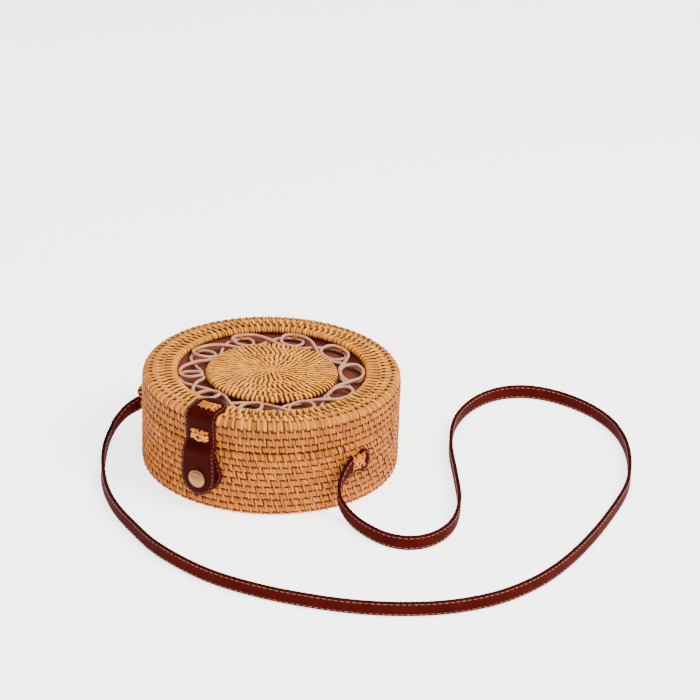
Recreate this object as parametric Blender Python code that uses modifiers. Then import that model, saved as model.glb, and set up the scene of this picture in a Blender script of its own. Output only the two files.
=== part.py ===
"""Round rattan handbag lying on its back: a coiled body, a hinged lid with an openwork band,
a leather clasp tab with a press stud, and a long leather shoulder strap.

Metres, +Z up. The origin is the centre of the back panel, where the bag rests.
-Y looks towards the clasp, +Y towards the hinge loops.
"""
import math

import bmesh
import bpy
import numpy as np
from mathutils import Matrix, Vector

# Overall sizes of the bag
BAG_RADIUS = 0.1004
BODY_HEIGHT = 0.0523
LID_HEIGHT = 0.0246
CANE_WALL = 0.0045
FIT_GAP = 0.0003
CUT_OVERRUN = 0.002
TURN_STEPS = 56

# Coil rows of the weave
ROW_PITCH = 0.0057
ROW_RELIEF = 0.0008
SHOULDER_SHARE = 0.15
SHOULDER_RELIEF = 0.0002
BASE_EDGE_RADIUS = 0.0030
LID_EDGE_RADIUS = 0.0057
EDGE_ARC_STEPS = 4

# Wrapped rim bead on top of the body wall
RIM_BEAD_HEIGHT = 0.0059
RIM_BEAD_STEPS = 8

# Lid top: a ring, an openwork band and a centre disc
RING_WIDTH = 0.0270
OPENING_ROLL_RADIUS = 0.0032
TROUGH_START = 0.0008
TROUGH_END = 0.0040
TROUGH_RELIEF = 0.0006
INNER_GROOVE_INSET = 0.0083
OUTER_GROOVE_INSET = 0.0015
GROOVE_HALF_WIDTH = 0.0010
OPENWORK_WIDTH = 0.0220
DISC_THICKNESS = 0.0030
DISC_DROP = 0.0026
DISC_CROWN = 0.0006
DISC_ROW_PITCH = 0.0046
DISC_ROW_RELIEF = 0.0005

# Openwork rods: two closed rods that take turns to make the loops
ROD_DIAMETER = 0.0025
LOOP_COUNT = 10
LOOP_RADIUS = 0.0074
LOOP_PHASE_DEG = 17.3
LOOP_TURN_SHARES = (0.0, 0.06, 0.16, 0.28, 0.39, 0.5, 0.61, 0.72, 0.84, 0.94, 1.0)
ROD_LEVEL_GAP = 0.00035
ROD_UNDER_DISC_GAP = 0.0003
ROD_EDGE_GAP = 0.0018
ROD_TUCK = 0.0008
TIE_THICKNESS = 0.0007
TIE_WIDTH = 0.0024
TIE_CORNER_STEPS = 3

# Cloth lining
CLOTH_THICKNESS = 0.0008

# Leather clasp tab, its fold and the tab on the body
LEATHER_THICKNESS = 0.0018
TAB_END_HALF_WIDTH = 0.0135
TAB_WAIST_HALF_WIDTH = 0.0118
FLAP_END_HALF_WIDTH = 0.0143
FLAP_TIP_DROP = 0.0393
FOLD_RISE = 0.0033
FLAP_BULGE_LENGTH = 0.0085
TAB_TOP_INSET = 0.0002
TAB_TOP_LEAN = -0.0018
TAB_FOLD_LEAN = 0.0013
FLAP_END_LEAN = 0.0019
BODY_TAB_HALF_WIDTH = 0.0150
BODY_TAB_NECK_HALF_WIDTH = 0.0125
BODY_TAB_OFFSET = 0.0030
BODY_TAB_TIP_DROP = 0.0368
BODY_TAB_TOP_DROP = 0.0023
STRIP_COLUMNS = 6
STRIP_END_STEPS = 5

# Press stud
SNAP_DROP = 0.0253
CAP_RADIUS = 0.0072
CAP_DOME = 0.0013
CAP_RIM = 0.0004
POST_RADIUS = 0.0018
POST_CLEARANCE = 0.0003
SOCKET_RADIUS = 0.0052
SOCKET_THICKNESS = 0.0009
SOCKET_MOUTH_RADIUS = 0.0030
STUD_FLANGE_RADIUS = 0.0050
STUD_FLANGE_THICKNESS = 0.0005
STUD_HEAD_RADIUS = 0.0027
STUD_HEAD_HEIGHT = 0.0006
RIVET_FLANGE_RADIUS = 0.0038
RIVET_FLANGE_THICKNESS = 0.0005
RIVET_POST_RADIUS = 0.0013
SNAP_STEPS = 24

# Cane lashings: a flat run over the leather and two legs into the weave
LASHING_THICKNESS = 0.0013
LASHING_LEG_DEPTH = 0.0024
LASHING_BEVEL = 0.0004
TOP_LASHING_SPAN = 0.0170
TOP_LASHING_WIDTH = 0.0088
TOP_LASHING_INSET = 0.0114
SKIRT_LASHING_SPAN = 0.0155
SKIRT_LASHING_WIDTH = 0.0096
SKIRT_LASHING_RISE = 0.0088
SKIRT_LASHING_OFFSET = 0.0009
BODY_TAB_LASHING_SPAN = 0.0130
BODY_TAB_LASHING_WIDTH = 0.0060
BODY_TAB_LASHING_DROP = 0.0093
STRAP_LASHING_WIDTH = 0.0098
STRAP_LASHING_MARGIN = 0.0019

# Strap ends, lashed flat on the body wall
STRAP_WIDTH = 0.0115
STRAP_THICKNESS = 0.0026
STRAP_AZIMUTH_DEG = 76.4
STRAP_END_DROP = 0.0163
STRAP_END_HALF_WIDTH = 0.0067
STRAP_END_BEYOND = 0.0100
STRAP_END_INNER = 0.0068

# Hinge loops through the rim bead and the lid's lowest row
HINGE_LOOP_X = 0.0130
HINGE_AXIS_OUTSET = 0.0016
HINGE_LOOP_RADIUS = 0.0036
HINGE_LOOP_THICKNESS = 0.0012
HINGE_LOOP_WIDTH = 0.0070

# Route of the free strap from its right end to its left end, in millimetres, chosen by hand:
# down the wall, round a small loop, round a large loop, past the front and up to the left end.
MILLIMETRE = 0.001
STRAP_ROUTE_MM = [
    (95.9, -38.0, 35.6), (96.2, -43.6, 33.6), (96.4, -49.6, 29.2), (96.4, -54.2, 22.4),
    (97.4, -56.6, 15.2), (105.5, -60.2, 8.0), (121.4, -68.2, 5.8), (146.0, -75.7, 5.8),
    (166.4, -71.9, 5.8), (178.6, -55.4, 5.8), (179.9, -28.8, 5.8), (167.6, 4.3, 5.8),
    (118.1, 80.0, 5.8), (99.4, 119.0, 5.8), (93.4, 154.8, 5.8), (98.3, 183.9, 5.8),
    (111.9, 202.7, 5.8), (131.7, 211.5, 5.8), (181.5, 204.9, 5.8), (231.7, 162.7, 5.8),
    (265.8, 86.8, 5.8), (276.9, 0.0, 5.8), (268.0, -86.8, 5.8), (235.4, -138.6, 5.8),
    (181.3, -173.7, 5.8),
    (127.8, -189.9, 5.8), (66.2, -194.1, 5.8), (18.1, -182.6, 5.8), (-37.3, -152.4, 5.8),
    (-92.2, -97.2, 5.8), (-114.4, -60.6, 5.8), (-119.6, -51.0, 8.0), (-118.2, -45.0, 13.6),
    (-112.4, -42.6, 20.4), (-105.6, -42.0, 27.2), (-100.4, -40.4, 32.0), (-97.2, -37.2, 35.2),
]
STRAP_SAMPLES_PER_SPAN = 2
STRAP_LEAD = 0.0030
STRAP_JOIN_GAP = 0.0005

# Heights and radii that follow from the sizes above
SEAM_HEIGHT = BODY_HEIGHT
OPENING_RADIUS = BAG_RADIUS - RING_WIDTH
DISC_RADIUS = OPENING_RADIUS - OPENWORK_WIDTH
FOLD_HEIGHT = SEAM_HEIGHT + FOLD_RISE
FLAP_TIP_HEIGHT = SEAM_HEIGHT - FLAP_TIP_DROP
BODY_TAB_TIP_HEIGHT = SEAM_HEIGHT - BODY_TAB_TIP_DROP
BODY_TAB_TOP_HEIGHT = SEAM_HEIGHT - BODY_TAB_TOP_DROP
SNAP_HEIGHT = SEAM_HEIGHT - SNAP_DROP
STRAP_END_HEIGHT = SEAM_HEIGHT - STRAP_END_DROP
TOP_LASHING_RADIUS = BAG_RADIUS - TOP_LASHING_INSET
SKIRT_LASHING_HEIGHT = SEAM_HEIGHT + SKIRT_LASHING_RISE
BODY_TAB_LASHING_HEIGHT = SEAM_HEIGHT - BODY_TAB_LASHING_DROP
RIM_TOP = SEAM_HEIGHT - FIT_GAP / 2
RIM_BOTTOM = RIM_TOP - RIM_BEAD_HEIGHT
WALL_TOP = RIM_BOTTOM - FIT_GAP
LID_BOTTOM = SEAM_HEIGHT + FIT_GAP / 2
LID_TOP = SEAM_HEIGHT + LID_HEIGHT
LID_UNDER = LID_TOP - CANE_WALL
SKIRT_LINE = LID_TOP - LID_EDGE_RADIUS
RING_BOTTOM = SKIRT_LINE + FIT_GAP / 2
SKIRT_TOP = SKIRT_LINE - FIT_GAP / 2
INNER_RADIUS = BAG_RADIUS - ROW_RELIEF - CANE_WALL
DISC_TOP = LID_TOP - DISC_DROP
DISC_BOTTOM = DISC_TOP - DISC_THICKNESS
ROD_RADIUS = ROD_DIAMETER / 2
ROD_LOW = DISC_BOTTOM - ROD_UNDER_DISC_GAP - ROD_RADIUS
ROD_HIGH = ROD_LOW + ROD_DIAMETER + ROD_LEVEL_GAP
TIE_BOTTOM = ROD_LOW - ROD_RADIUS - FIT_GAP - TIE_THICKNESS
LID_CLOTH_TOP = TIE_BOTTOM - FIT_GAP
LID_CLOTH_BOTTOM = LID_CLOTH_TOP - CLOTH_THICKNESS
CLOTH_RADIUS = INNER_RADIUS - FIT_GAP
TAB_INNER = BAG_RADIUS + FIT_GAP
TAB_OUTER = TAB_INNER + LEATHER_THICKNESS
STUD_BASE = TAB_OUTER + FIT_GAP
STUD_TOP = STUD_BASE + STUD_FLANGE_THICKNESS + STUD_HEAD_HEIGHT
SOCKET_MOUTH = STUD_TOP + FIT_GAP
SOCKET_BACK = SOCKET_MOUTH + SOCKET_THICKNESS
FLAP_INNER = SOCKET_BACK + FIT_GAP
FLAP_OUTER = FLAP_INNER + LEATHER_THICKNESS
HINGE_LOOP_EDGE_X = HINGE_LOOP_X + HINGE_LOOP_WIDTH / 2
HINGE_Y = math.sqrt(BAG_RADIUS ** 2 - HINGE_LOOP_EDGE_X ** 2) + HINGE_AXIS_OUTSET
STRAP_OUTER = TAB_INNER + STRAP_THICKNESS


def clear_scene():
    for obj in list(bpy.data.objects):
        bpy.data.objects.remove(obj, do_unlink=True)


def make_collection(name):
    collection = bpy.data.collections.new(name)
    bpy.context.scene.collection.children.link(collection)
    return collection


def make_material(name, colour, roughness, metallic=0.0):
    material = bpy.data.materials.new(name)
    material.use_nodes = True
    shader = material.node_tree.nodes["Principled BSDF"]
    shader.inputs["Base Color"].default_value = (*colour, 1.0)
    shader.inputs["Roughness"].default_value = roughness
    shader.inputs["Metallic"].default_value = metallic
    return material


def add_object(name, data, material, collection):
    obj = bpy.data.objects.new(name, data)
    collection.objects.link(obj)
    if material is not None:
        data.materials.append(material)
    return obj


def shade_round(obj, angle_deg=35.0):
    obj.data.shade_smooth()
    obj.data.set_sharp_from_angle(angle=math.radians(angle_deg))


def turned(name, profile, closed, material, collection, steps=TURN_STEPS):
    """A turned piece: the profile of (radius, height) pairs goes once round +Z with Screw.

    The profile runs down the outer side. A closed profile makes a ring, and an open one
    starts and ends on the axis.
    """
    count = len(profile)
    edges = [(i, (i + 1) % count) for i in range(count if closed else count - 1)]
    mesh = bpy.data.meshes.new(name)
    mesh.from_pydata([(radius, 0.0, height) for radius, height in profile], edges, [])
    obj = add_object(name, mesh, material, collection)
    screw = obj.modifiers.new("Turn", "SCREW")
    screw.axis = "Z"
    screw.steps = steps
    screw.render_steps = steps
    screw.use_merge_vertices = True
    screw.merge_threshold = 0.00001
    screw.use_smooth_shade = True
    return obj


def arc(centre_r, centre_z, radius, start_deg, end_deg, steps):
    """Points of a round edge, from one angle to the other, counted from +R towards +Z."""
    angles = np.radians(np.linspace(start_deg, end_deg, steps + 1))
    return [(centre_r + radius * math.cos(a), centre_z + radius * math.sin(a)) for a in angles]


def rows_down(top, bottom, pitch, outer, relief, shoulder=0.0):
    """Coil rows of a wall from top to bottom: a valley between rows, a crest on each row.

    A shoulder gives each row a flatter face: a point near either edge drops back by it.
    """
    count = max(1, round((top - bottom) / pitch))
    height = (top - bottom) / count
    points = []
    for row in range(count):
        middle = top - (row + 0.5) * height
        half_face = (0.5 - SHOULDER_SHARE) * height
        if shoulder > 0.0:
            points.append((outer - shoulder, middle + half_face))
        points.append((outer, middle))
        if shoulder > 0.0:
            points.append((outer - shoulder, middle - half_face))
        if row < count - 1:
            points.append((outer - relief, top - (row + 1) * height))
    return points


def rows_out(inner, outer, pitch, top, crown, relief):
    """Coil rows of a crowned disc from its middle out: the crown falls evenly to the rim."""
    count = max(1, round((outer - inner) / pitch))
    width = (outer - inner) / count
    points = []
    for half_row in range(2 * count):
        radius = inner + half_row * width / 2
        valley = relief if half_row % 2 == 0 and half_row > 0 else 0.0
        points.append((radius, top + crown * (1.0 - radius / outer) - valley))
    return points


def groove_across(middle, level):
    """A groove between two rows of the lid's top: its valley with a shoulder on either side."""
    return [(middle - GROOVE_HALF_WIDTH, level - SHOULDER_RELIEF), (middle, level - ROW_RELIEF),
            (middle + GROOVE_HALF_WIDTH, level - SHOULDER_RELIEF)]


def cut(obj, cutters):
    for cutter in cutters:
        boolean = obj.modifiers.new("Cut " + cutter.name, "BOOLEAN")
        boolean.operation = "DIFFERENCE"
        boolean.solver = "EXACT"
        boolean.object = cutter


def hide_cutter(obj):
    obj.hide_render = True
    obj.display_type = "WIRE"
    return obj


def add_empty(name, location, collection):
    empty = bpy.data.objects.new(name, None)
    empty.location = location
    collection.objects.link(empty)
    return empty


def carry(empty, pieces):
    """Parent the pieces to the empty on their joint's axis, leaving them where they are."""
    bpy.context.view_layer.update()
    inverse = empty.matrix_world.inverted()
    for piece in pieces:
        piece.parent = empty
        piece.matrix_parent_inverse = inverse


def closed_sheet(name, outer, inner, material, collection):
    """A bent sheet of leather: two grids of points, one a face and one the other, with walls."""
    rows, columns = outer.shape[:2]
    mesh = bmesh.new()
    top = [[mesh.verts.new(point) for point in row] for row in outer]
    low = [[mesh.verts.new(point) for point in row] for row in inner]
    for i in range(rows - 1):
        for j in range(columns - 1):
            mesh.faces.new((top[i][j], top[i + 1][j], top[i + 1][j + 1], top[i][j + 1]))
            mesh.faces.new((low[i][j], low[i][j + 1], low[i + 1][j + 1], low[i + 1][j]))
        for j in (0, columns - 1):
            mesh.faces.new((top[i][j], top[i + 1][j], low[i + 1][j], low[i][j]))
    for j in range(columns - 1):
        for i in (0, rows - 1):
            mesh.faces.new((top[i][j], top[i][j + 1], low[i][j + 1], low[i][j]))
    bmesh.ops.recalc_face_normals(mesh, faces=mesh.faces)
    data = bpy.data.meshes.new(name)
    mesh.to_mesh(data)
    mesh.free()
    obj = add_object(name, data, material, collection)
    shade_round(obj)
    return obj


def end_shares(steps=STRIP_END_STEPS):
    """Distances from a round end as shares of its radius, closest together at the tip."""
    angles = np.radians(np.linspace(8.0, 90.0, steps + 1))
    return 1.0 - np.cos(angles)


def round_width(distance, radius):
    """Half width of a round end at a distance from its tip."""
    inside = np.clip(distance, 0.0, radius)
    return np.sqrt(np.maximum(radius * radius - (radius - inside) ** 2, 0.0))


def smooth_step(value):
    value = np.clip(value, 0.0, 1.0)
    return value * value * (3.0 - 2.0 * value)


def side_sag(x):
    """How far the round wall drops back at a distance x from its middle line."""
    return BAG_RADIUS - np.sqrt(BAG_RADIUS ** 2 - x ** 2)


def strip_across(centres, normals, half_widths, thickness, offset=0.0):
    """Outer and inner grids of a strip that crosses the wall at -Y.

    centres are (radius, height) pairs along the inner face, normals point out of the bag
    in the same plane, and each row spreads its half width along X and drops back with the wall.
    offset moves the middle line along X, by one value or by one for each row.
    """
    shares = np.linspace(-1.0, 1.0, STRIP_COLUMNS + 1)
    x = np.reshape(offset, (-1, 1)) + half_widths[:, None] * shares[None, :]
    sag = side_sag(x)

    def grid(lift):
        radius = (centres[:, 0] + normals[:, 0] * lift)[:, None] - sag
        height = np.repeat((centres[:, 1] + normals[:, 1] * lift)[:, None], x.shape[1], 1)
        return np.stack([x, -radius, height], -1)

    return grid(thickness), grid(0.0)


def path_normals(centres):
    """Unit normals of a path in the (radius, height) plane, to the outer side going down."""
    along = np.gradient(centres, axis=0)
    along /= np.linalg.norm(along, axis=1)[:, None]
    return np.stack([-along[:, 1], along[:, 0]], -1)


def run_lengths(centres):
    steps = np.linalg.norm(np.diff(centres, axis=0), axis=1)
    return np.concatenate([[0.0], np.cumsum(steps)])


def build_body(parts, cane, cloth):
    """Woven wall, the back panel inside its foot and the wrapped rim bead on its top."""
    foot = arc(BAG_RADIUS - BASE_EDGE_RADIUS, BASE_EDGE_RADIUS, BASE_EDGE_RADIUS, 0, -90,
               EDGE_ARC_STEPS)
    profile = [(BAG_RADIUS - ROW_RELIEF, WALL_TOP)]
    profile += rows_down(WALL_TOP, BASE_EDGE_RADIUS, ROW_PITCH, BAG_RADIUS, ROW_RELIEF)
    profile += foot[1:] + [(INNER_RADIUS, 0.0), (INNER_RADIUS, WALL_TOP)]
    wall = turned("body_wall", profile, True, cane, parts)
    turned("body_base", [(0.0, CANE_WALL), (INNER_RADIUS - FIT_GAP, CANE_WALL),
                         (INNER_RADIUS - FIT_GAP, 0.0), (0.0, 0.0)], False, cane, parts)

    bead_middle = (BAG_RADIUS + INNER_RADIUS) / 2
    bead_half_width = (BAG_RADIUS - INNER_RADIUS) / 2
    angles = np.radians(np.arange(RIM_BEAD_STEPS) * -360.0 / RIM_BEAD_STEPS + 22.5)
    scale = 1.0 / math.cos(math.radians(180.0 / RIM_BEAD_STEPS))
    bead = [(bead_middle + bead_half_width * scale * math.cos(a),
             (RIM_TOP + RIM_BOTTOM) / 2 + RIM_BEAD_HEIGHT / 2 * scale * math.sin(a))
            for a in angles]
    rim = turned("body_rim", bead, True, cane, parts)

    floor_bottom = CANE_WALL + FIT_GAP
    floor_top = floor_bottom + CLOTH_THICKNESS
    floor_radius = CLOTH_RADIUS - CLOTH_THICKNESS - FIT_GAP
    turned("body_lining_floor", [(0.0, floor_top), (floor_radius, floor_top),
                                 (floor_radius, floor_bottom), (0.0, floor_bottom)],
           False, cloth, parts)
    turned("body_lining_wall", [(CLOTH_RADIUS, RIM_BOTTOM), (CLOTH_RADIUS, floor_bottom),
                                (CLOTH_RADIUS - CLOTH_THICKNESS, floor_bottom),
                                (CLOTH_RADIUS - CLOTH_THICKNESS, RIM_BOTTOM)],
           True, cloth, parts)
    return wall, rim


def build_lid(parts, cane, cloth):
    """Woven lid ring, its skirt of coil rows, the centre disc and the cloth lining."""
    profile = [(BAG_RADIUS - ROW_RELIEF, SKIRT_TOP)]
    profile += rows_down(SKIRT_TOP, LID_BOTTOM, ROW_PITCH, BAG_RADIUS, ROW_RELIEF,
                         SHOULDER_RELIEF)
    profile += [(BAG_RADIUS - ROW_RELIEF, LID_BOTTOM), (INNER_RADIUS, LID_BOTTOM),
                (INNER_RADIUS, SKIRT_TOP)]
    skirt = turned("lid_skirt", profile, True, cane, parts)
    edge = arc(BAG_RADIUS - LID_EDGE_RADIUS, LID_TOP - LID_EDGE_RADIUS, LID_EDGE_RADIUS, 90, 0,
               EDGE_ARC_STEPS)
    roll_radius = OPENING_ROLL_RADIUS
    roll = arc(OPENING_RADIUS + roll_radius, LID_TOP - roll_radius, roll_radius, 180, 90,
               EDGE_ARC_STEPS)
    edge_start = BAG_RADIUS - LID_EDGE_RADIUS
    inner_groove = edge_start - INNER_GROOVE_INSET
    outer_groove = edge_start - OUTER_GROOVE_INSET
    trough = LID_TOP - TROUGH_RELIEF
    top = [(OPENING_RADIUS + roll_radius + TROUGH_START, trough),
           (inner_groove - TROUGH_END, trough)]
    top += groove_across(inner_groove, LID_TOP)
    top += [((inner_groove + outer_groove) / 2, LID_TOP)]
    top += groove_across(outer_groove, LID_TOP)
    inside = [(BAG_RADIUS, RING_BOTTOM), (INNER_RADIUS, RING_BOTTOM),
              (INNER_RADIUS - (LID_UNDER - RING_BOTTOM), LID_UNDER),
              (OPENING_RADIUS + roll_radius, LID_UNDER),
              (OPENING_RADIUS, LID_UNDER + roll_radius / 2)]
    ring = turned("lid_ring", roll + top + edge[:-1] + inside, True, cane, parts)

    disc_edge = DISC_THICKNESS / 2
    disc = rows_out(0.0, DISC_RADIUS - disc_edge, DISC_ROW_PITCH, DISC_TOP, DISC_CROWN,
                    DISC_ROW_RELIEF)
    disc += arc(DISC_RADIUS - disc_edge, DISC_TOP - disc_edge, disc_edge, 90, -90,
                EDGE_ARC_STEPS)
    disc += [(0.0, DISC_BOTTOM)]
    turned("lid_centre_disc", disc, False, cane, parts)

    turned("lid_lining_disc", [(0.0, LID_CLOTH_TOP), (INNER_RADIUS - CANE_WALL, LID_CLOTH_TOP),
                               (INNER_RADIUS - CANE_WALL, LID_CLOTH_BOTTOM),
                               (0.0, LID_CLOTH_BOTTOM)], False, cloth, parts)
    band_top = LID_CLOTH_BOTTOM - FIT_GAP
    turned("lid_lining_band", [(CLOTH_RADIUS, band_top), (CLOTH_RADIUS, LID_BOTTOM),
                               (CLOTH_RADIUS - CLOTH_THICKNESS, LID_BOTTOM),
                               (CLOTH_RADIUS - CLOTH_THICKNESS, band_top)],
           True, cloth, parts)
    return ring, skirt


def rod_period():
    """Guide points of one period of an openwork rod, as (azimuth in degrees, radius, height).

    The rod comes in low from the disc's edge, goes over the outer edge, round its own loop
    while it rises, over the outer edge again on top of itself, and down to the disc's edge
    inside the next loop, which the other rod makes.
    """
    spacing = 360.0 / LOOP_COUNT
    outer = OPENING_RADIUS - ROD_EDGE_GAP - ROD_RADIUS
    loop_middle = outer - LOOP_RADIUS
    inner = DISC_RADIUS - ROD_TUCK
    crossing = (outer + inner) / 2
    rise = ROD_HIGH - ROD_LOW
    points = [
        (spacing, inner, ROD_LOW),
        (spacing * 0.75, inner + (crossing - inner) * 0.28, ROD_LOW),
        (spacing * 0.5, crossing, ROD_LOW),
        (spacing * 0.22, outer - (outer - crossing) * 0.22, ROD_LOW),
    ]
    for share in LOOP_TURN_SHARES:
        turn = 2.0 * math.pi * share
        radius = loop_middle + LOOP_RADIUS * math.cos(turn)
        azimuth = -math.degrees(LOOP_RADIUS * math.sin(turn) / radius)
        points.append((azimuth, radius, ROD_LOW + rise * float(smooth_step(2 * share - 0.5))))
    points += [
        (-spacing * 0.22, outer - (outer - crossing) * 0.22, ROD_HIGH),
        (-spacing * 0.5, crossing, ROD_HIGH),
        (-spacing * 0.75, inner + (crossing - inner) * 0.28, ROD_LOW + rise / 2),
    ]
    return points


def smooth_through(points, samples, closed):
    """Points on a Catmull-Rom curve through the given ones, samples of them to a span."""
    count = len(points)
    spans = count if closed else count - 1
    result = []
    for span in range(spans):
        if closed:
            a, b, c, d = (points[(span + k - 1) % count] for k in range(4))
        else:
            a = points[max(span - 1, 0)]
            b, c = points[span], points[span + 1]
            d = points[min(span + 2, count - 1)]
        for sample in range(samples):
            t = sample / samples
            result.append(0.5 * (2 * b + (c - a) * t + (2 * a - 5 * b + 4 * c - d) * t * t
                                 + (3 * b - a - 3 * c + d) * t ** 3))
    if not closed:
        result.append(points[-1])
    return result


def poly_curve(name, points, closed, material, collection):
    curve = bpy.data.curves.new(name, "CURVE")
    curve.dimensions = "3D"
    spline = curve.splines.new("POLY")
    spline.points.add(len(points) - 1)
    for target, point in zip(spline.points, points):
        target.co = (*point, 1.0)
    spline.use_cyclic_u = closed
    spline.use_smooth = True
    return add_object(name, curve, material, collection)


def build_openwork(parts, rod_cane, tie_cane):
    """Two closed rods, each with every second loop, and a cane tie round each loop's top."""
    period = rod_period()
    rods_per_band = 2
    loops_per_rod = LOOP_COUNT // rods_per_band
    spacing = 360.0 / LOOP_COUNT
    for rod in range(rods_per_band):
        guide = []
        for loop in range(loops_per_rod):
            base = LOOP_PHASE_DEG - spacing * (rods_per_band * loop + rod)
            for azimuth, radius, height in period:
                angle = math.radians(base + azimuth)
                guide.append(Vector((radius * math.sin(angle), -radius * math.cos(angle),
                                     height)))
        points = smooth_through(guide, 1, True)
        rod_object = poly_curve("openwork_rod_" + "ab"[rod], points, True, rod_cane, parts)
        rod_object.data.bevel_depth = ROD_RADIUS
        rod_object.data.bevel_resolution = 1

    outer = OPENING_RADIUS - ROD_EDGE_GAP - ROD_RADIUS
    hole_radius = (ROD_RADIUS + FIT_GAP) / math.cos(math.radians(90.0 / TIE_CORNER_STEPS))
    for loop in range(LOOP_COUNT):
        tie = bpy.data.curves.new("openwork_tie", "CURVE")
        tie.dimensions = "2D"
        tie.fill_mode = "BOTH"
        tie.extrude = TIE_WIDTH / 2
        for radius in (hole_radius, hole_radius + TIE_THICKNESS):
            outline = []
            for centre, start in ((ROD_HIGH, 0.0), (ROD_LOW, 180.0)):
                for step in range(TIE_CORNER_STEPS + 1):
                    angle = math.radians(start + 180.0 * step / TIE_CORNER_STEPS)
                    outline.append((radius * math.cos(angle),
                                    centre - ROD_LOW + radius * math.sin(angle)))
            spline = tie.splines.new("POLY")
            spline.points.add(len(outline) - 1)
            for target, (x, y) in zip(spline.points, outline):
                target.co = (x, y, 0.0, 1.0)
            spline.use_cyclic_u = True
        name = "openwork_tie_%02d" % (loop + 1)
        obj = add_object(name, tie, tie_cane, parts)
        angle = math.radians(LOOP_PHASE_DEG - spacing * loop)
        outward = Vector((math.sin(angle), -math.cos(angle), 0.0))
        upward = Vector((0.0, 0.0, 1.0))
        frame = Matrix((outward, upward, outward.cross(upward))).transposed().to_4x4()
        frame.translation = outward * outer + upward * ROD_LOW
        obj.matrix_world = frame


def lashing_frame(run_direction, outward, seat):
    """Matrix whose X is the run of a lashing, Z its outward side and origin its seat."""
    run_direction = Vector(run_direction).normalized()
    outward = Vector(outward).normalized()
    frame = Matrix((run_direction, outward.cross(run_direction), outward)).transposed()
    frame = frame.to_4x4()
    frame.translation = Vector(seat)
    return frame


def build_lashing(name, span, width, over, frame, parts, cutters, material):
    """A lashing from its seat on the weave: legs go down into it, the run lies over the leather.

    over is the height of the leather's outer face above the seat. Returns the lashing and a
    cutter for the two slots that its legs go through.
    """
    half = span / 2
    inner = half - LASHING_THICKNESS
    run_low = over + FIT_GAP
    run_top = run_low + LASHING_THICKNESS
    outline = [(-half, -LASHING_LEG_DEPTH), (-inner, -LASHING_LEG_DEPTH), (-inner, run_low),
               (inner, run_low), (inner, -LASHING_LEG_DEPTH), (half, -LASHING_LEG_DEPTH),
               (half, run_top), (-half, run_top)]
    mesh = bmesh.new()
    faces = mesh.faces.new([mesh.verts.new((x, -width / 2, z)) for x, z in outline])
    grown = bmesh.ops.extrude_face_region(mesh, geom=[faces])
    moved = [item for item in grown["geom"] if isinstance(item, bmesh.types.BMVert)]
    bmesh.ops.translate(mesh, verts=moved, vec=(0.0, width, 0.0))
    bmesh.ops.recalc_face_normals(mesh, faces=mesh.faces)
    data = bpy.data.meshes.new(name)
    mesh.to_mesh(data)
    mesh.free()
    lashing = add_object(name, data, material, parts)
    lashing.matrix_world = frame
    bevel = lashing.modifiers.new("Soft edges", "BEVEL")
    bevel.width = LASHING_BEVEL
    bevel.segments = 1
    bevel.limit_method = "ANGLE"

    slots = bmesh.new()
    slot_bottom = -LASHING_LEG_DEPTH - FIT_GAP
    slot_height = over + CUT_OVERRUN - slot_bottom
    for side in (-1, 1):
        slot = bmesh.ops.create_cube(slots, size=1.0)
        bmesh.ops.scale(slots, verts=slot["verts"],
                        vec=(LASHING_THICKNESS + 2 * FIT_GAP, width + 2 * FIT_GAP, slot_height))
        middle = (side * (half + inner) / 2, 0.0, slot_bottom + slot_height / 2)
        bmesh.ops.translate(slots, verts=slot["verts"], vec=middle)
    data = bpy.data.meshes.new(name + "_slots")
    slots.to_mesh(data)
    slots.free()
    cutter = hide_cutter(add_object(name + "_slots", data, None, cutters))
    cutter.matrix_world = frame
    return lashing, cutter


def build_clasp_tab(parts, leather):
    """Upper leather tab: from the opening's edge over the lid's top and down its skirt."""
    rounding = LID_EDGE_RADIUS + FIT_GAP
    top_level = LID_TOP + FIT_GAP
    tip = OPENING_RADIUS + TAB_TOP_INSET
    corner_r = BAG_RADIUS - LID_EDGE_RADIUS
    corner_z = LID_TOP - LID_EDGE_RADIUS
    flat = [(tip + share * TAB_END_HALF_WIDTH, top_level) for share in end_shares()]
    flat.append((corner_r - FIT_GAP, top_level))
    bend = arc(corner_r, corner_z, rounding, 90, 0, EDGE_ARC_STEPS)
    low = FOLD_HEIGHT + FIT_GAP / 2
    drop = [(TAB_INNER, corner_z + (low - corner_z) * share) for share in (0.5, 1.0)]
    centres = np.array(flat + bend + drop)
    lengths = run_lengths(centres) + (centres[0, 0] - tip)
    narrowing = smooth_step((lengths - TAB_END_HALF_WIDTH) / TAB_END_HALF_WIDTH)
    widest = TAB_END_HALF_WIDTH + (TAB_WAIST_HALF_WIDTH - TAB_END_HALF_WIDTH) * narrowing
    half_widths = np.minimum(widest, round_width(lengths, TAB_END_HALF_WIDTH)
                             + (lengths >= TAB_END_HALF_WIDTH))
    lean = TAB_TOP_LEAN + (TAB_FOLD_LEAN - TAB_TOP_LEAN) * lengths / lengths[-1]
    outer, inner = strip_across(centres, path_normals(centres), half_widths, LEATHER_THICKNESS,
                                lean)
    outer[-1, :, 2] = low
    return closed_sheet("clasp_tab", outer, inner, leather, parts)


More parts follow.
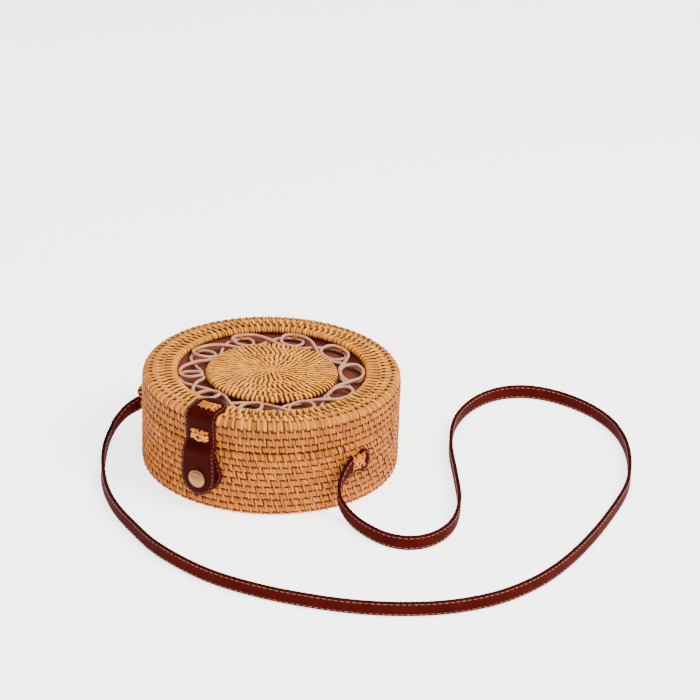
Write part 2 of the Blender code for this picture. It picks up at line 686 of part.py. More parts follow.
def build_clasp_flap(parts, leather):
    """Lower leather flap: bulges out over the press stud and hangs down to a round tip."""
    top = FOLD_HEIGHT - FIT_GAP / 2
    tip = FLAP_TIP_HEIGHT
    bulge = np.linspace(0.0, 1.0, 5)
    heights = list(top - bulge * FLAP_BULGE_LENGTH)
    heights += list(np.linspace(heights[-1], tip + FLAP_END_HALF_WIDTH, 4)[1:-1])
    heights += [tip + share * FLAP_END_HALF_WIDTH for share in end_shares()[::-1]]
    heights = np.array(heights)
    out = smooth_step((top - heights) / FLAP_BULGE_LENGTH)
    centres = np.stack([TAB_INNER + (FLAP_INNER - TAB_INNER) * out, heights], -1)
    spread = smooth_step((top - heights) / (top - tip - FLAP_END_HALF_WIDTH))
    widest = TAB_WAIST_HALF_WIDTH + (FLAP_END_HALF_WIDTH - TAB_WAIST_HALF_WIDTH) * spread
    tip_distance = heights - tip
    half_widths = np.minimum(widest, round_width(tip_distance, FLAP_END_HALF_WIDTH)
                             + (tip_distance >= FLAP_END_HALF_WIDTH))
    lean = TAB_FOLD_LEAN + (FLAP_END_LEAN - TAB_FOLD_LEAN) * spread
    outer, inner = strip_across(centres, path_normals(centres), half_widths, LEATHER_THICKNESS,
                                lean)
    outer[0, :, 2] = top
    return closed_sheet("clasp_flap", outer, inner, leather, parts)


def build_body_tab(parts, leather):
    """Leather tab on the body wall that carries the stud."""
    tip, top = BODY_TAB_TIP_HEIGHT, BODY_TAB_TOP_HEIGHT
    shares = end_shares()
    heights = [top - share * BODY_TAB_NECK_HALF_WIDTH for share in shares]
    heights.append((heights[-1] + tip + BODY_TAB_HALF_WIDTH) / 2)
    heights += [tip + share * BODY_TAB_HALF_WIDTH for share in shares[::-1]]
    heights = np.array(heights)
    centres = np.stack([np.full_like(heights, TAB_INNER), heights], -1)
    spread = smooth_step((top - BODY_TAB_NECK_HALF_WIDTH - heights)
                         / (top - BODY_TAB_NECK_HALF_WIDTH - tip - BODY_TAB_HALF_WIDTH))
    widest = BODY_TAB_NECK_HALF_WIDTH + (BODY_TAB_HALF_WIDTH - BODY_TAB_NECK_HALF_WIDTH) * spread
    from_tip = round_width(heights - tip, BODY_TAB_HALF_WIDTH)
    from_top = round_width(top - heights, BODY_TAB_NECK_HALF_WIDTH)
    low_part = heights < tip + BODY_TAB_HALF_WIDTH
    high_part = heights > top - BODY_TAB_NECK_HALF_WIDTH
    half_widths = np.where(low_part, from_tip, np.where(high_part, from_top, widest))
    outer, inner = strip_across(centres, path_normals(centres), half_widths, LEATHER_THICKNESS,
                                BODY_TAB_OFFSET)
    return closed_sheet("body_tab", outer, inner, leather, parts)


def build_strap_end(name, side, parts, leather):
    """Widened end of the strap, flat on the wall, its round tip away from the clasp."""
    beyond, before = STRAP_END_BEYOND, STRAP_END_INNER
    distances = [share * STRAP_END_HALF_WIDTH for share in end_shares()]
    length = beyond + before
    neck = (STRAP_WIDTH / 2) / STRAP_END_HALF_WIDTH
    distances += [length - before, length]
    distances = np.array(distances)
    half_widths = round_width(distances, STRAP_END_HALF_WIDTH)
    taper = smooth_step((distances - (length - before)) / before)
    half_widths = half_widths * (1.0 - (1.0 - neck) * taper)
    middle = math.radians(STRAP_AZIMUTH_DEG)
    azimuths = middle + (beyond - distances) / BAG_RADIUS
    shares = np.linspace(-1.0, 1.0, 3)

    def grid(radius):
        rows = []
        for azimuth, half_width in zip(azimuths, half_widths):
            x, y = side * radius * math.sin(azimuth), -radius * math.cos(azimuth)
            rows.append([(x, y, STRAP_END_HEIGHT + half_width * share) for share in shares])
        return np.array(rows)

    return closed_sheet(name, grid(STRAP_OUTER), grid(TAB_INNER), leather, parts)


def snap_frame(radius):
    """Matrix of a press stud piece: its axis points out of the bag at the clasp."""
    frame = Matrix(((1.0, 0.0, 0.0), (0.0, 0.0, -1.0), (0.0, 1.0, 0.0))).to_4x4()
    frame.translation = Vector((FLAP_END_LEAN, -radius, SNAP_HEIGHT))
    return frame


def build_snap(parts, cutters, metal):
    """Cap with its post, socket, stud and rivet of a press stud, and the leather's holes."""
    post_end = -(LEATHER_THICKNESS + 2 * FIT_GAP + SOCKET_THICKNESS / 2)
    cap = [(0.0, CAP_RIM + CAP_DOME)]
    for share in (0.35, 0.65, 0.85, 0.96):
        cap.append((CAP_RADIUS * share, CAP_RIM + CAP_DOME * math.sqrt(1.0 - share * share)))
    cap += [(CAP_RADIUS, CAP_RIM), (CAP_RADIUS, 0.0), (POST_RADIUS, 0.0),
            (POST_RADIUS, post_end), (0.0, post_end)]
    cap_object = turned("snap_cap", cap, False, metal, parts, SNAP_STEPS)
    cap_object.matrix_world = snap_frame(FLAP_OUTER + FIT_GAP)

    hole = POST_RADIUS + POST_CLEARANCE
    lip = SOCKET_THICKNESS / 2
    socket = [(SOCKET_RADIUS - lip / 2, SOCKET_THICKNESS), (SOCKET_RADIUS, lip),
              (SOCKET_RADIUS - lip / 2, 0.0), (SOCKET_MOUTH_RADIUS, 0.0), (hole, lip),
              (hole, SOCKET_THICKNESS)]
    socket_object = turned("snap_socket", socket, True, metal, parts, SNAP_STEPS)
    socket_object.matrix_world = snap_frame(SOCKET_MOUTH)

    bore = RIVET_POST_RADIUS + POST_CLEARANCE
    flange, head = STUD_FLANGE_THICKNESS, STUD_FLANGE_THICKNESS + STUD_HEAD_HEIGHT
    stud = [(bore, head), (STUD_HEAD_RADIUS - STUD_HEAD_HEIGHT / 2, head),
            (STUD_HEAD_RADIUS, head - STUD_HEAD_HEIGHT / 2), (STUD_HEAD_RADIUS, flange),
            (STUD_FLANGE_RADIUS, flange), (STUD_FLANGE_RADIUS, 0.0), (bore, 0.0)]
    stud_object = turned("snap_stud", stud, True, metal, parts, SNAP_STEPS)
    stud_object.matrix_world = snap_frame(STUD_BASE)

    rivet_length = LEATHER_THICKNESS + FIT_GAP + STUD_FLANGE_THICKNESS
    rivet = [(0.0, rivet_length), (RIVET_POST_RADIUS, rivet_length),
             (RIVET_POST_RADIUS, RIVET_FLANGE_THICKNESS),
             (RIVET_FLANGE_RADIUS, RIVET_FLANGE_THICKNESS), (RIVET_FLANGE_RADIUS, 0.0),
             (0.0, 0.0)]
    rivet_object = turned("snap_rivet", rivet, False, metal, parts, SNAP_STEPS)
    rivet_object.matrix_world = snap_frame(TAB_INNER)

    flap_hole = turned("flap_post_hole", [(0.0, CUT_OVERRUN), (hole, CUT_OVERRUN),
                                          (hole, -LEATHER_THICKNESS - CUT_OVERRUN),
                                          (0.0, -LEATHER_THICKNESS - CUT_OVERRUN)],
                       False, None, cutters, SNAP_STEPS)
    flap_hole.matrix_world = snap_frame(FLAP_OUTER)
    recess = RIVET_FLANGE_THICKNESS + FIT_GAP
    recess_radius = RIVET_FLANGE_RADIUS + FIT_GAP
    tab_hole = turned("tab_rivet_hole",
                      [(0.0, LEATHER_THICKNESS + CUT_OVERRUN),
                       (bore, LEATHER_THICKNESS + CUT_OVERRUN), (bore, recess),
                       (recess_radius, recess), (recess_radius, -CUT_OVERRUN),
                       (0.0, -CUT_OVERRUN)], False, None, cutters, SNAP_STEPS)
    tab_hole.matrix_world = snap_frame(TAB_INNER)
    return cap_object, socket_object, hide_cutter(flap_hole), hide_cutter(tab_hole)


def hinge_ring_profile(grow):
    inner = HINGE_LOOP_RADIUS - HINGE_LOOP_THICKNESS / 2 - grow
    outer = HINGE_LOOP_RADIUS + HINGE_LOOP_THICKNESS / 2 + grow
    half = HINGE_LOOP_WIDTH / 2 + grow
    return [(outer, half), (outer, -half), (inner, -half), (inner, half)]


def build_hinge(parts, cutters, cane):
    """Two flat cane loops round the hinge axis, and the channels that they run through."""
    channels = []
    for name, side in (("hinge_loop_left", -1), ("hinge_loop_right", 1)):
        place = Matrix.Translation((side * HINGE_LOOP_X, HINGE_Y, SEAM_HEIGHT))
        frame = place @ Matrix.Rotation(math.radians(90.0), 4, "Y")
        loop = turned(name, hinge_ring_profile(0.0), True, cane, parts, SNAP_STEPS)
        loop.matrix_world = frame
        channel = turned(name + "_channel", hinge_ring_profile(FIT_GAP), True, None, cutters,
                         SNAP_STEPS)
        channel.matrix_world = frame
        channels.append(hide_cutter(channel))
    return channels


def build_strap(parts, leather):
    """Free strap: a flat leather band that stands on its edge along the route."""
    first = math.radians(STRAP_AZIMUTH_DEG) - (STRAP_END_INNER + STRAP_JOIN_GAP) / BAG_RADIUS
    middle_radius = TAB_INNER + STRAP_THICKNESS / 2
    start = Vector((middle_radius * math.sin(first), -middle_radius * math.cos(first),
                    STRAP_END_HEIGHT))
    lead = start + Vector((-math.cos(first), -math.sin(first), 0.0)) * STRAP_LEAD
    mirror = Vector((-1.0, 1.0, 1.0))
    route = [start, (start + lead) / 2, lead]
    route += [Vector(point) * MILLIMETRE for point in STRAP_ROUTE_MM]
    route += [lead * mirror, (start + lead) / 2 * mirror, start * mirror]
    points = smooth_through(route, STRAP_SAMPLES_PER_SPAN, False)
    strap = poly_curve("strap", points, False, leather, parts)
    strap.data.twist_mode = "Z_UP"
    strap.data.extrude = STRAP_WIDTH / 2 - STRAP_THICKNESS / 2
    strap.data.bevel_depth = STRAP_THICKNESS / 2
    strap.data.bevel_resolution = 0
    strap.data.use_fill_caps = True
    return strap


def main():
    clear_scene()
    parts = make_collection("rattan_handbag")
    cutters = make_collection("cutters")
    cane = make_material("ata_weave", (0.62, 0.34, 0.13), 0.6)
    rod_cane = make_material("peeled_rod", (0.72, 0.48, 0.33), 0.55)
    tie_cane = make_material("ata_lashing", (0.75, 0.38, 0.10), 0.55)
    leather = make_material("burgundy_leather", (0.07, 0.012, 0.010), 0.4)
    strap_leather = make_material("strap_leather", (0.13, 0.020, 0.012), 0.45)
    metal = make_material("champagne_metal", (0.76, 0.62, 0.45), 0.3, 1.0)
    cloth = make_material("brown_cloth", (0.17, 0.06, 0.05), 0.9)

    wall, rim = build_body(parts, cane, cloth)
    ring, skirt = build_lid(parts, cane, cloth)
    build_openwork(parts, rod_cane, tie_cane)
    tab = build_clasp_tab(parts, leather)
    flap = build_clasp_flap(parts, leather)
    body_tab = build_body_tab(parts, leather)
    cap, socket, flap_hole, tab_hole = build_snap(parts, cutters, metal)
    channels = build_hinge(parts, cutters, tie_cane)

    front = (0.0, -1.0, 0.0)
    across = (1.0, 0.0, 0.0)
    up = (0.0, 0.0, 1.0)
    seat = BAG_RADIUS
    over = TAB_OUTER - seat
    _, top_slots = build_lashing(
        "clasp_lashing_top", TOP_LASHING_SPAN, TOP_LASHING_WIDTH, over,
        lashing_frame(across, up, (0.0, -TOP_LASHING_RADIUS, LID_TOP)), parts, cutters, tie_cane)
    _, skirt_slots = build_lashing(
        "clasp_lashing_skirt", SKIRT_LASHING_SPAN, SKIRT_LASHING_WIDTH, over,
        lashing_frame(across, front, (SKIRT_LASHING_OFFSET, -seat, SKIRT_LASHING_HEIGHT)), parts,
        cutters, tie_cane)
    _, body_tab_slots = build_lashing(
        "body_tab_lashing", BODY_TAB_LASHING_SPAN, BODY_TAB_LASHING_WIDTH, over,
        lashing_frame(across, front, (BODY_TAB_OFFSET, -seat, BODY_TAB_LASHING_HEIGHT)), parts,
        cutters, tie_cane)
    strap_slots = []
    for name, side in (("left", -1), ("right", 1)):
        build_strap_end("strap_end_" + name, side, parts, strap_leather)
        azimuth = math.radians(STRAP_AZIMUTH_DEG)
        outward = (side * math.sin(azimuth), -math.cos(azimuth), 0.0)
        place = Vector(outward) * seat + Vector((0.0, 0.0, STRAP_END_HEIGHT))
        span = 2 * (STRAP_END_HALF_WIDTH + STRAP_LASHING_MARGIN)
        _, slots = build_lashing("strap_lashing_" + name, span, STRAP_LASHING_WIDTH,
                                 STRAP_OUTER - seat, lashing_frame(up, outward, place), parts,
                                 cutters, tie_cane)
        strap_slots.append(slots)
    build_strap(parts, strap_leather)

    cut(wall, [body_tab_slots] + strap_slots)
    cut(rim, channels)
    cut(ring, [top_slots])
    cut(skirt, [skirt_slots] + channels)
    cut(tab, [top_slots, skirt_slots])
    cut(body_tab, [body_tab_slots, tab_hole])
    cut(flap, [flap_hole])

    lid_axis = add_empty("lid_hinge_axis", (0.0, HINGE_Y, SEAM_HEIGHT), parts)
    fold_axis = add_empty("flap_fold_axis", (0.0, -TAB_OUTER, FOLD_HEIGHT), parts)
    lid_names = ["lid_ring", "lid_skirt", "lid_centre_disc", "lid_lining_disc", "lid_lining_band",
                 "openwork_rod_a", "openwork_rod_b", "clasp_tab", "clasp_lashing_top",
                 "clasp_lashing_skirt"]
    lid_names += ["openwork_tie_%02d" % (loop + 1) for loop in range(LOOP_COUNT)]
    carry(lid_axis, [parts.objects[name] for name in lid_names])
    carry(fold_axis, [flap, cap, socket])
    carry(lid_axis, [fold_axis])


main()
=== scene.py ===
"""Round rattan handbag: woven cane, openwork rods, leather clasp and strap, dressed over the frame.

Lengths are in millimetres while a shape is worked out and in metres on the meshes. Places round
the bag are given by an azimuth that counts from -Y, where the clasp is, towards +X.
"""
import math
from functools import partial

import bmesh
import bpy
import numpy as np
from mathutils import Matrix, Vector


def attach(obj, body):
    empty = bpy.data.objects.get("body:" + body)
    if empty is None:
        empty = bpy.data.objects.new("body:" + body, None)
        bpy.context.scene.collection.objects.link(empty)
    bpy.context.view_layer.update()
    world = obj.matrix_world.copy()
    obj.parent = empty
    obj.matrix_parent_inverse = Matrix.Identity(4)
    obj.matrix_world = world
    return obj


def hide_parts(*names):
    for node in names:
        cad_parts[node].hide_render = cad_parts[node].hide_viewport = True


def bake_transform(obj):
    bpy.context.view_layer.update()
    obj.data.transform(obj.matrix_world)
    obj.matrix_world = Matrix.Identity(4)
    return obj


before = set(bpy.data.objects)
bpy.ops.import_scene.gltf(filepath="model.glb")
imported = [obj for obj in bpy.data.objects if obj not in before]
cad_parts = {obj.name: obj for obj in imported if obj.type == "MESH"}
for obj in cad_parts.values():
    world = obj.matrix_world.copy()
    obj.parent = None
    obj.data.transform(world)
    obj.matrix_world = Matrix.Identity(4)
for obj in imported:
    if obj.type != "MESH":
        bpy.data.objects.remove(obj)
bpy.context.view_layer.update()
MM = 0.001

# Sizes of the bag, in millimetres, as in the frame
CREST = 100.4
SEAM = 52.3
LID_TOP = 76.9
LID_EDGE = 5.7
INNER = 95.1
OPENING = 73.4
DISC_RADIUS = 51.4
DISC_TOP = 74.3
LEATHER_GAP = 0.3
LEATHER = 1.8
FLAP_STAND = 105.4
STRAP_AZIMUTH = 76.4
HINGE_Y = 100.635
STRAP_HEIGHT = 36.0
STRAP_WIDTH, STRAP_THICK = 11.5, 2.6
WELD = 0.002  # points nearer than this are one point


# Lines, and meshes from grids of points


class Build:
    """Gathers grids of quads with their UVs and tints, and makes one mesh of them."""

    def __init__(self):
        self.points, self.tints, self.quads, self.uvs, self.slots = [], [], [], [], []
        self.count = 0

    def grid(self, points, uv, tint, out, wrap=False, slot=0):
        """Adds one grid or a batch of grids of the same size.

        points is (..., rows, columns, 3) in millimetres, uv is (..., rows, columns, 2) in metres
        with one more column where the grid wraps, tint is (..., rows, columns, 3), and out points
        away from the solid, so that the faces can be turned outwards.
        """
        points = np.asarray(points, float)
        if points.ndim == 3:
            points = points[None]
        batch, rows, columns = points.shape[:3]
        wide = columns + (1 if wrap else 0)
        uv = np.broadcast_to(uv, (batch, rows, wide, 2)).reshape(batch, -1, 2)
        tint = np.broadcast_to(tint, points.shape).reshape(-1, 3)
        out = np.broadcast_to(out, points.shape).reshape(batch, -1, 3)
        i, j = np.arange(rows - 1)[:, None], np.arange(wide - 1)[None, :]
        after = (j + 1) % columns
        quad = np.stack([i * columns + j, (i + 1) * columns + j, (i + 1) * columns + after,
                         i * columns + after], -1).reshape(-1, 4)
        corner = np.stack([i * wide + j, (i + 1) * wide + j, (i + 1) * wide + j + 1,
                           i * wide + j + 1], -1).reshape(-1, 4)
        flat = points.reshape(batch, -1, 3)
        first, second, third, fourth = (flat[:, quad[:, k]] for k in range(4))
        normal = np.cross(third - first, fourth - second)
        if (normal * out[:, quad[:, 0]]).sum() < 0:
            quad, corner = quad[:, ::-1], corner[:, ::-1]
        steps = (np.arange(batch) * rows * columns)[:, None, None]
        self.quads.append((quad[None] + steps + self.count).reshape(-1, 4))
        self.uvs.append(uv[:, corner].reshape(-1, 2))
        self.points.append(flat.reshape(-1, 3))
        self.tints.append(tint)
        self.slots.append(np.full(batch * len(quad), slot))
        self.count += batch * rows * columns

    def finish(self, name, materials, body, slot, *nodes, weld=False):
        """Makes the object, lets it ride on its body and stand for its CAD nodes.

        weld joins points that lie in the same place, which closes poles and hems.
        """
        points = np.concatenate(self.points) * MM
        quads = np.concatenate(self.quads)
        mesh = bpy.data.meshes.new(name)
        mesh.vertices.add(len(points))
        mesh.vertices.foreach_set("co", points.astype(np.float32).ravel())
        mesh.loops.add(quads.size)
        mesh.loops.foreach_set("vertex_index", quads.astype(np.int32).ravel())
        mesh.polygons.add(len(quads))
        mesh.polygons.foreach_set("loop_start", np.arange(0, quads.size, 4, dtype=np.int32))
        mesh.polygons.foreach_set("material_index",
                                  np.concatenate(self.slots).astype(np.int32))
        layer = mesh.uv_layers.new(name="UVMap")
        layer.data.foreach_set("uv", np.concatenate(self.uvs).astype(np.float32).ravel())
        tints = np.concatenate(self.tints)
        tints = np.concatenate([tints, np.ones((len(tints), 1))], 1)
        colour = mesh.color_attributes.new("tint", "FLOAT_COLOR", "POINT")
        colour.data.foreach_set("color", tints.astype(np.float32).ravel())
        mesh.update(calc_edges=True)
        if weld:
            joined = bmesh.new()
            joined.from_mesh(mesh)
            bmesh.ops.remove_doubles(joined, verts=joined.verts, dist=WELD * MM)
            joined.to_mesh(mesh)
            joined.free()
        mesh.validate()
        mesh.shade_smooth()
        obj = bpy.data.objects.new(name, mesh)
        bpy.context.scene.collection.objects.link(obj)
        for material in materials:
            mesh.materials.append(material)
        if body:
            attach(obj, body)
        if nodes:
            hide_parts(*nodes)
        return obj


def smooth_step(value):
    """An even ease from 0 to 1: three times the square less twice the cube."""
    value = np.clip(value, 0.0, 1.0)
    return value * value * (3.0 - 2.0 * value)


def spline(points, samples, closed=False):
    """Catmull-Rom curve through the points, with samples to a span: half of 2b + (c - a)t +
    (2a - 5b + 4c - d)t^2 + (3b - a - 3c + d)t^3 for four neighbours a, b, c and d."""
    points = np.asarray(points, float)
    if closed:
        before, start, end, after = (np.roll(points, k, 0) for k in (1, 0, -1, -2))
    else:
        padded = np.concatenate([points[:1], points, points[-1:]])
        before, start, end, after = padded[:-3], padded[1:-2], padded[2:-1], padded[3:]
    t = (np.arange(samples) / samples)[None, :, None]
    a, b, c, d = (x[:, None, :] for x in (before, start, end, after))
    curve = 0.5 * (2 * b + (c - a) * t + (2 * a - 5 * b + 4 * c - d) * t ** 2
                   + (3 * b - a - 3 * c + d) * t ** 3)
    curve = curve.reshape(-1, points.shape[1])
    return curve if closed else np.concatenate([curve, points[-1:]])


def lengths_along(points):
    """The length walked along a line up to each of its points."""
    return np.concatenate([[0.0], np.cumsum(np.linalg.norm(np.diff(points, axis=0), axis=1))])


def sampled(at, lengths, columns):
    """Each column of a line at the lengths at, straight between the line's points."""
    return np.stack([np.interp(at, lengths, column) for column in columns.T], -1)


def resample(points, step, closed=False):
    """Points at even distances along a line, about a step apart."""
    points = np.asarray(points, float)
    if closed:
        points = np.concatenate([points, points[:1]])
    lengths = lengths_along(points)
    count = max(2, int(round(lengths[-1] / step)) + 1)
    even = sampled(np.linspace(0.0, lengths[-1], count), lengths, points)
    return even[:-1] if closed else even


def unit(vectors):
    """The vectors divided by their lengths."""
    return vectors / np.maximum(np.linalg.norm(vectors, axis=-1, keepdims=True), 1e-12)


def tangents(points, closed=False):
    """Directions along a line, from the points before and after each point."""
    if closed:
        return unit(np.roll(points, -1, 0) - np.roll(points, 1, 0))
    return unit(np.gradient(points, axis=0))


def averaged(values, weights):
    """Each row of values averaged with its neighbours by the weights, an odd number of them."""
    half = len(weights) // 2
    padded = np.pad(values, ((half, half), (0, 0)), mode="edge")
    return np.stack([np.convolve(column, weights, "valid") for column in padded.T], -1)


class Profile:
    """A line of (radius, height) points turned round +Z and walked by its length. The solid lies
    on its right where side is -1, and on its left where side is 1."""

    def __init__(self, points, side):
        self.line = resample(points, 0.15)
        self.length = lengths_along(self.line)
        self.total = self.length[-1]
        along = tangents(self.line)
        normal = np.stack([along[:, 1], -along[:, 0]], -1) * side
        self.table = np.concatenate([self.line, unit(averaged(normal, np.ones(9) / 9))], 1)

    def radius(self, distance):
        """The line's radius at a distance along it."""
        return np.interp(distance, self.length, self.line[:, 0])

    def place(self, distance, azimuth, lift):
        """Points and outward directions: the line's point at a distance, moved out along its
        normal by the lift and turned round +Z to the azimuth."""
        radius, height, out_r, out_z = np.moveaxis(sampled(distance, self.length, self.table),
                                                   -1, 0)
        r, z = radius + out_r * lift, height + out_z * lift
        r, z, azimuth = np.broadcast_arrays(r, z, azimuth)
        sine, cosine = np.sin(azimuth), np.cos(azimuth)
        out_r, out_z = np.broadcast_to(out_r, r.shape), np.broadcast_to(out_z, r.shape)
        return (np.stack([r * sine, -r * cosine, z], -1),
                np.stack([out_r * sine, -out_r * cosine, out_z], -1))

    def at_height(self, height):
        """Distance along the line of the point nearest to a height."""
        return self.length[np.argmin(np.abs(self.line[:, 1] - height))]

    def first(self, passed):
        """Distance along the line of the first point where a test of radius and height holds."""
        return self.length[np.argmax(passed(*self.line.T))]


def arc_points(centre_r, centre_z, radius, start, end):
    """Twelve points of an arc round a centre, from one angle to another in degrees."""
    angles = np.radians(np.linspace(start, end, 12))
    return [(centre_r + radius * math.cos(a), centre_z + radius * math.sin(a)) for a in angles]


def slow_wave(rng, azimuth, waves, highest):
    """A smooth random wave round the bag, about -1 to 1: a sum of sines of whole waves."""
    total = 0.0
    for _ in range(waves):
        total = total + np.sin(azimuth * rng.integers(1, highest) + rng.uniform(0, 6.283))
    return total / waves * 1.4


# The weave: deep cores painted dark as shade, short flat strands on them and longer bars across
# the grooves. BAR_RISE and FLAT_RISE are (share of the length, lift). ARCH and FLAT_ARCH are
# (side from -1 to 1, lift, light), from a strand's left edge to its right one; light is painted
# shade across a strand, darkest on a bar's tucked right edge.

BAR_RISE = np.array([(0.0, -1.0), (0.06, -0.45), (0.13, -0.05), (0.24, 0.12), (0.45, 0.2),
                     (0.7, 0.16), (0.86, -0.02), (0.95, -0.5), (1.0, -1.1)])
FLAT_RISE = np.array([(0.0, -1.15), (0.07, -0.5), (0.2, -0.12), (0.5, 0.0), (0.8, -0.12),
                      (0.93, -0.5), (1.0, -1.15)])
ARCH = np.array([(-1.0, -0.5, 0.2), (-0.7, -0.1, 0.95), (-0.2, 0.0, 1.0), (0.3, -0.05, 0.9),
                 (0.68, -0.3, 0.45), (1.0, -0.95, 0.0)])
FLAT_ARCH = np.array([(-1.0, -0.4, 0.6), (-0.72, -0.1, 0.95), (0.0, 0.0, 1.0), (0.72, -0.1, 0.95),
                      (1.0, -0.5, 0.3)])


def core_row(build, profile, start, end, lift, warm, rng, columns=220, light=0.06):
    """The coil under one row: a turned band that bulges by 0.3 between its two grooves, as
    1.2 x (1 - x) over the share x of its width."""
    x = np.array([0.0, 0.12, 0.5, 0.88, 1.0])
    azimuth = np.linspace(-math.pi, math.pi, columns, endpoint=False)
    rise = (lift - 0.3 + 1.2 * x * (1 - x))[:, None] + 0.04 * slow_wave(rng, azimuth, 5, 50)
    distance = start + (end - start) * x
    points, out = profile.place(distance[:, None], azimuth[None, :], rise)
    radius = profile.radius((start + end) / 2)
    across = (distance * MM + rng.uniform(0, 1))[:, None]
    along = np.linspace(0, 2 * math.pi * radius * MM, columns + 1)[None, :]
    uv = np.stack(np.broadcast_arrays(across, along), -1)
    # The core's light is low, 0.06 by default, so that it is painted almost wholly in the groove's
    # shade colour.
    build.grid(points, uv, (0.4, light, warm), out, wrap=True)


def strands(build, profile, start, end, count, phase, width, rng, warm, lean=0.0, rise=BAR_RISE,
            height=1.0, lift=0.0, skew=0.0, tone=(0.7, 1.0), taper=0.82, scatter=0.03,
            steps=9, arch=ARCH, end_shade=0.6, ragged=0.0, vary=0.1):
    """Strands of split cane side by side round the bag, from start to end along the profile.

    Strand k stands at (k + phase) / count of a turn. Along it, the lift follows the table rise,
    and across it the arch, whose right edge is tucked deeper and is painted in shade. lean is how
    far its end lies to the right of its start, and skew moves its right side further along the
    profile. taper is the width of its ends as a share of its middle, ragged is how far a strand
    is shifted along it at random, and vary is how much the widths differ. Its ends are painted
    darker too, as shade where they dive into the grooves.
    """
    share = np.interp(np.linspace(0, 1, steps), np.linspace(0, 1, len(rise)), rise[:, 0])
    high = np.interp(share, rise[:, 0], rise[:, 1]) * height + lift
    across, drop, arch_painted_light = arch.T
    azimuth = (np.arange(count) + phase + rng.normal(0, scatter, count)) * 2 * math.pi / count
    wide = width / 2 * rng.uniform(1 - vary, 1 + vary, count)[:, None, None]
    tapered = (taper + (1 - taper) * np.sin(np.pi * share) ** 0.7)[None, :, None]
    distance = start + (end - start) * share
    radius = profile.radius(distance)[None, :, None]
    slant = (lean + rng.normal(0, 0.12, count))[:, None, None] * (share - 0.5)[None, :, None]
    angle = azimuth[:, None, None] + (wide * tapered * across + slant) / radius
    raised = rng.normal(0, 0.045, count)[:, None, None]
    lifts = high[None, :, None] + drop[None, None, :] + raised
    uneven = rng.normal(0, ragged, count)[:, None, None]
    reach = np.clip(distance[None, :, None] + skew * across[None, None, :] + uneven, 0,
                    profile.total)
    points, out = profile.place(np.broadcast_to(reach, lifts.shape), angle, lifts)
    u = rng.uniform(0, 1, count)[:, None, None] + wide * across * MM
    v = rng.uniform(0, 1, count)[:, None, None] + (distance * MM)[None, :, None]
    uv = np.stack(np.broadcast_arrays(u, v), -1)
    shade = rng.uniform(tone[0], tone[1], count)[:, None, None]
    # Painted shade: the tint's light drops towards the strand's ends, where they dive into the
    # grooves, and towards its edges as the arch's last column gives.
    light = np.clip(np.sin(np.pi * share) ** end_shade, 0.12, 1.0)[None, :, None] * arch_painted_light
    build.grid(points, uv, np.stack(np.broadcast_arrays(shade, light, np.float64(warm)), -1), out)


def woven_row(build, profile, start, end, before, count, phase, bar, warm, rng, lean=0.0,
              groove=0.9, skew=0.0, flats=1, after=0.0, bar_steps=9, flat_steps=7,
              tone=(0.66, 1.0), flat_tone=(0.12, 0.6), columns=220, scatter=0.03, vary=0.1,
              core_painted_light=0.06):
    """One coil row between its grooves: its core, painted dark as shade, flat strands that stop
    short of the grooves by groove / 2, and bars that start before the row, cross its first groove
    and end in the next one. bar is the share of the pitch that a bar takes, and flats is the number
    of flat strands side by side between two bars. The flats lie lower and take the darker
    flat_tone, partly their own tone and partly painted shade."""
    core_row(build, profile, start, end, -1.0, warm, rng, columns, core_painted_light)
    pitch = 2 * math.pi * profile.radius((start + end) / 2) / count
    length = end + after - (start - before)
    flat_lean = lean * (end - start - groove) / length
    for k in range(flats):
        beside = ((k + 0.5) / flats - 0.5) * (1 - bar)
        strands(build, profile, start + groove / 2, end - groove / 2, count, phase + 0.5 + beside,
                pitch * (1 - bar) / flats + 0.3, rng, warm, flat_lean, FLAT_RISE, lift=-0.14,
                skew=skew / flats, tone=flat_tone, taper=0.93, steps=flat_steps, arch=FLAT_ARCH,
                end_shade=0.4, ragged=0.16)
    shift = -lean * (before / length - (1 - (end - start + before) / length)) / 2 / pitch
    strands(build, profile, start - before, end + after, count, phase + shift, pitch * bar, rng,
            warm, lean, lift=0.06, tone=tone, taper=0.84, scatter=scatter, steps=bar_steps,
            ragged=0.15, vary=vary)


def plain_turn(build, line, side, warm, columns=180):
    """A smooth turned face for the inside of a woven piece: a line of (radius, height) points
    turned round +Z, with side as in Profile."""
    line = np.array(line, float)
    azimuth = np.linspace(-math.pi, math.pi, columns, endpoint=False)
    sine, cosine = np.sin(azimuth), np.cos(azimuth)
    along = np.gradient(line, axis=0)
    normal = unit(np.stack([along[:, 1], -along[:, 0]], -1)) * side
    points, out = (np.stack([x[:, :1] * sine, -x[:, :1] * cosine, np.repeat(x[:, 1:], columns, 1)],
                            -1) for x in (line, normal))
    uv = np.stack(np.broadcast_arrays(lengths_along(line)[:, None] * MM,
                                      np.linspace(0, 0.6, columns + 1)), -1)
    build.grid(points, uv, (0.5, 0.55, warm), out, wrap=True)


# Colours and materials. UVs and object places are in metres, so a noise of scale s has clouds of
# about 1000 / s mm.


def linear(text):
    """Linear colour of an sRGB hex colour."""
    values = [int(text[k:k + 2], 16) / 255 for k in (0, 2, 4)]
    return [v / 12.92 if v <= 0.04045 else ((v + 0.055) / 1.055) ** 2.4 for v in values] + [1.0]


def fill(tree, target, inputs):
    """Sets or links the inputs of a node, by number or name: a value or another node's output."""
    for key, value in inputs.items() if isinstance(inputs, dict) else enumerate(inputs):
        if isinstance(value, bpy.types.NodeSocket):
            tree.links.new(value, target.inputs[key])
        else:
            target.inputs[key].default_value = value


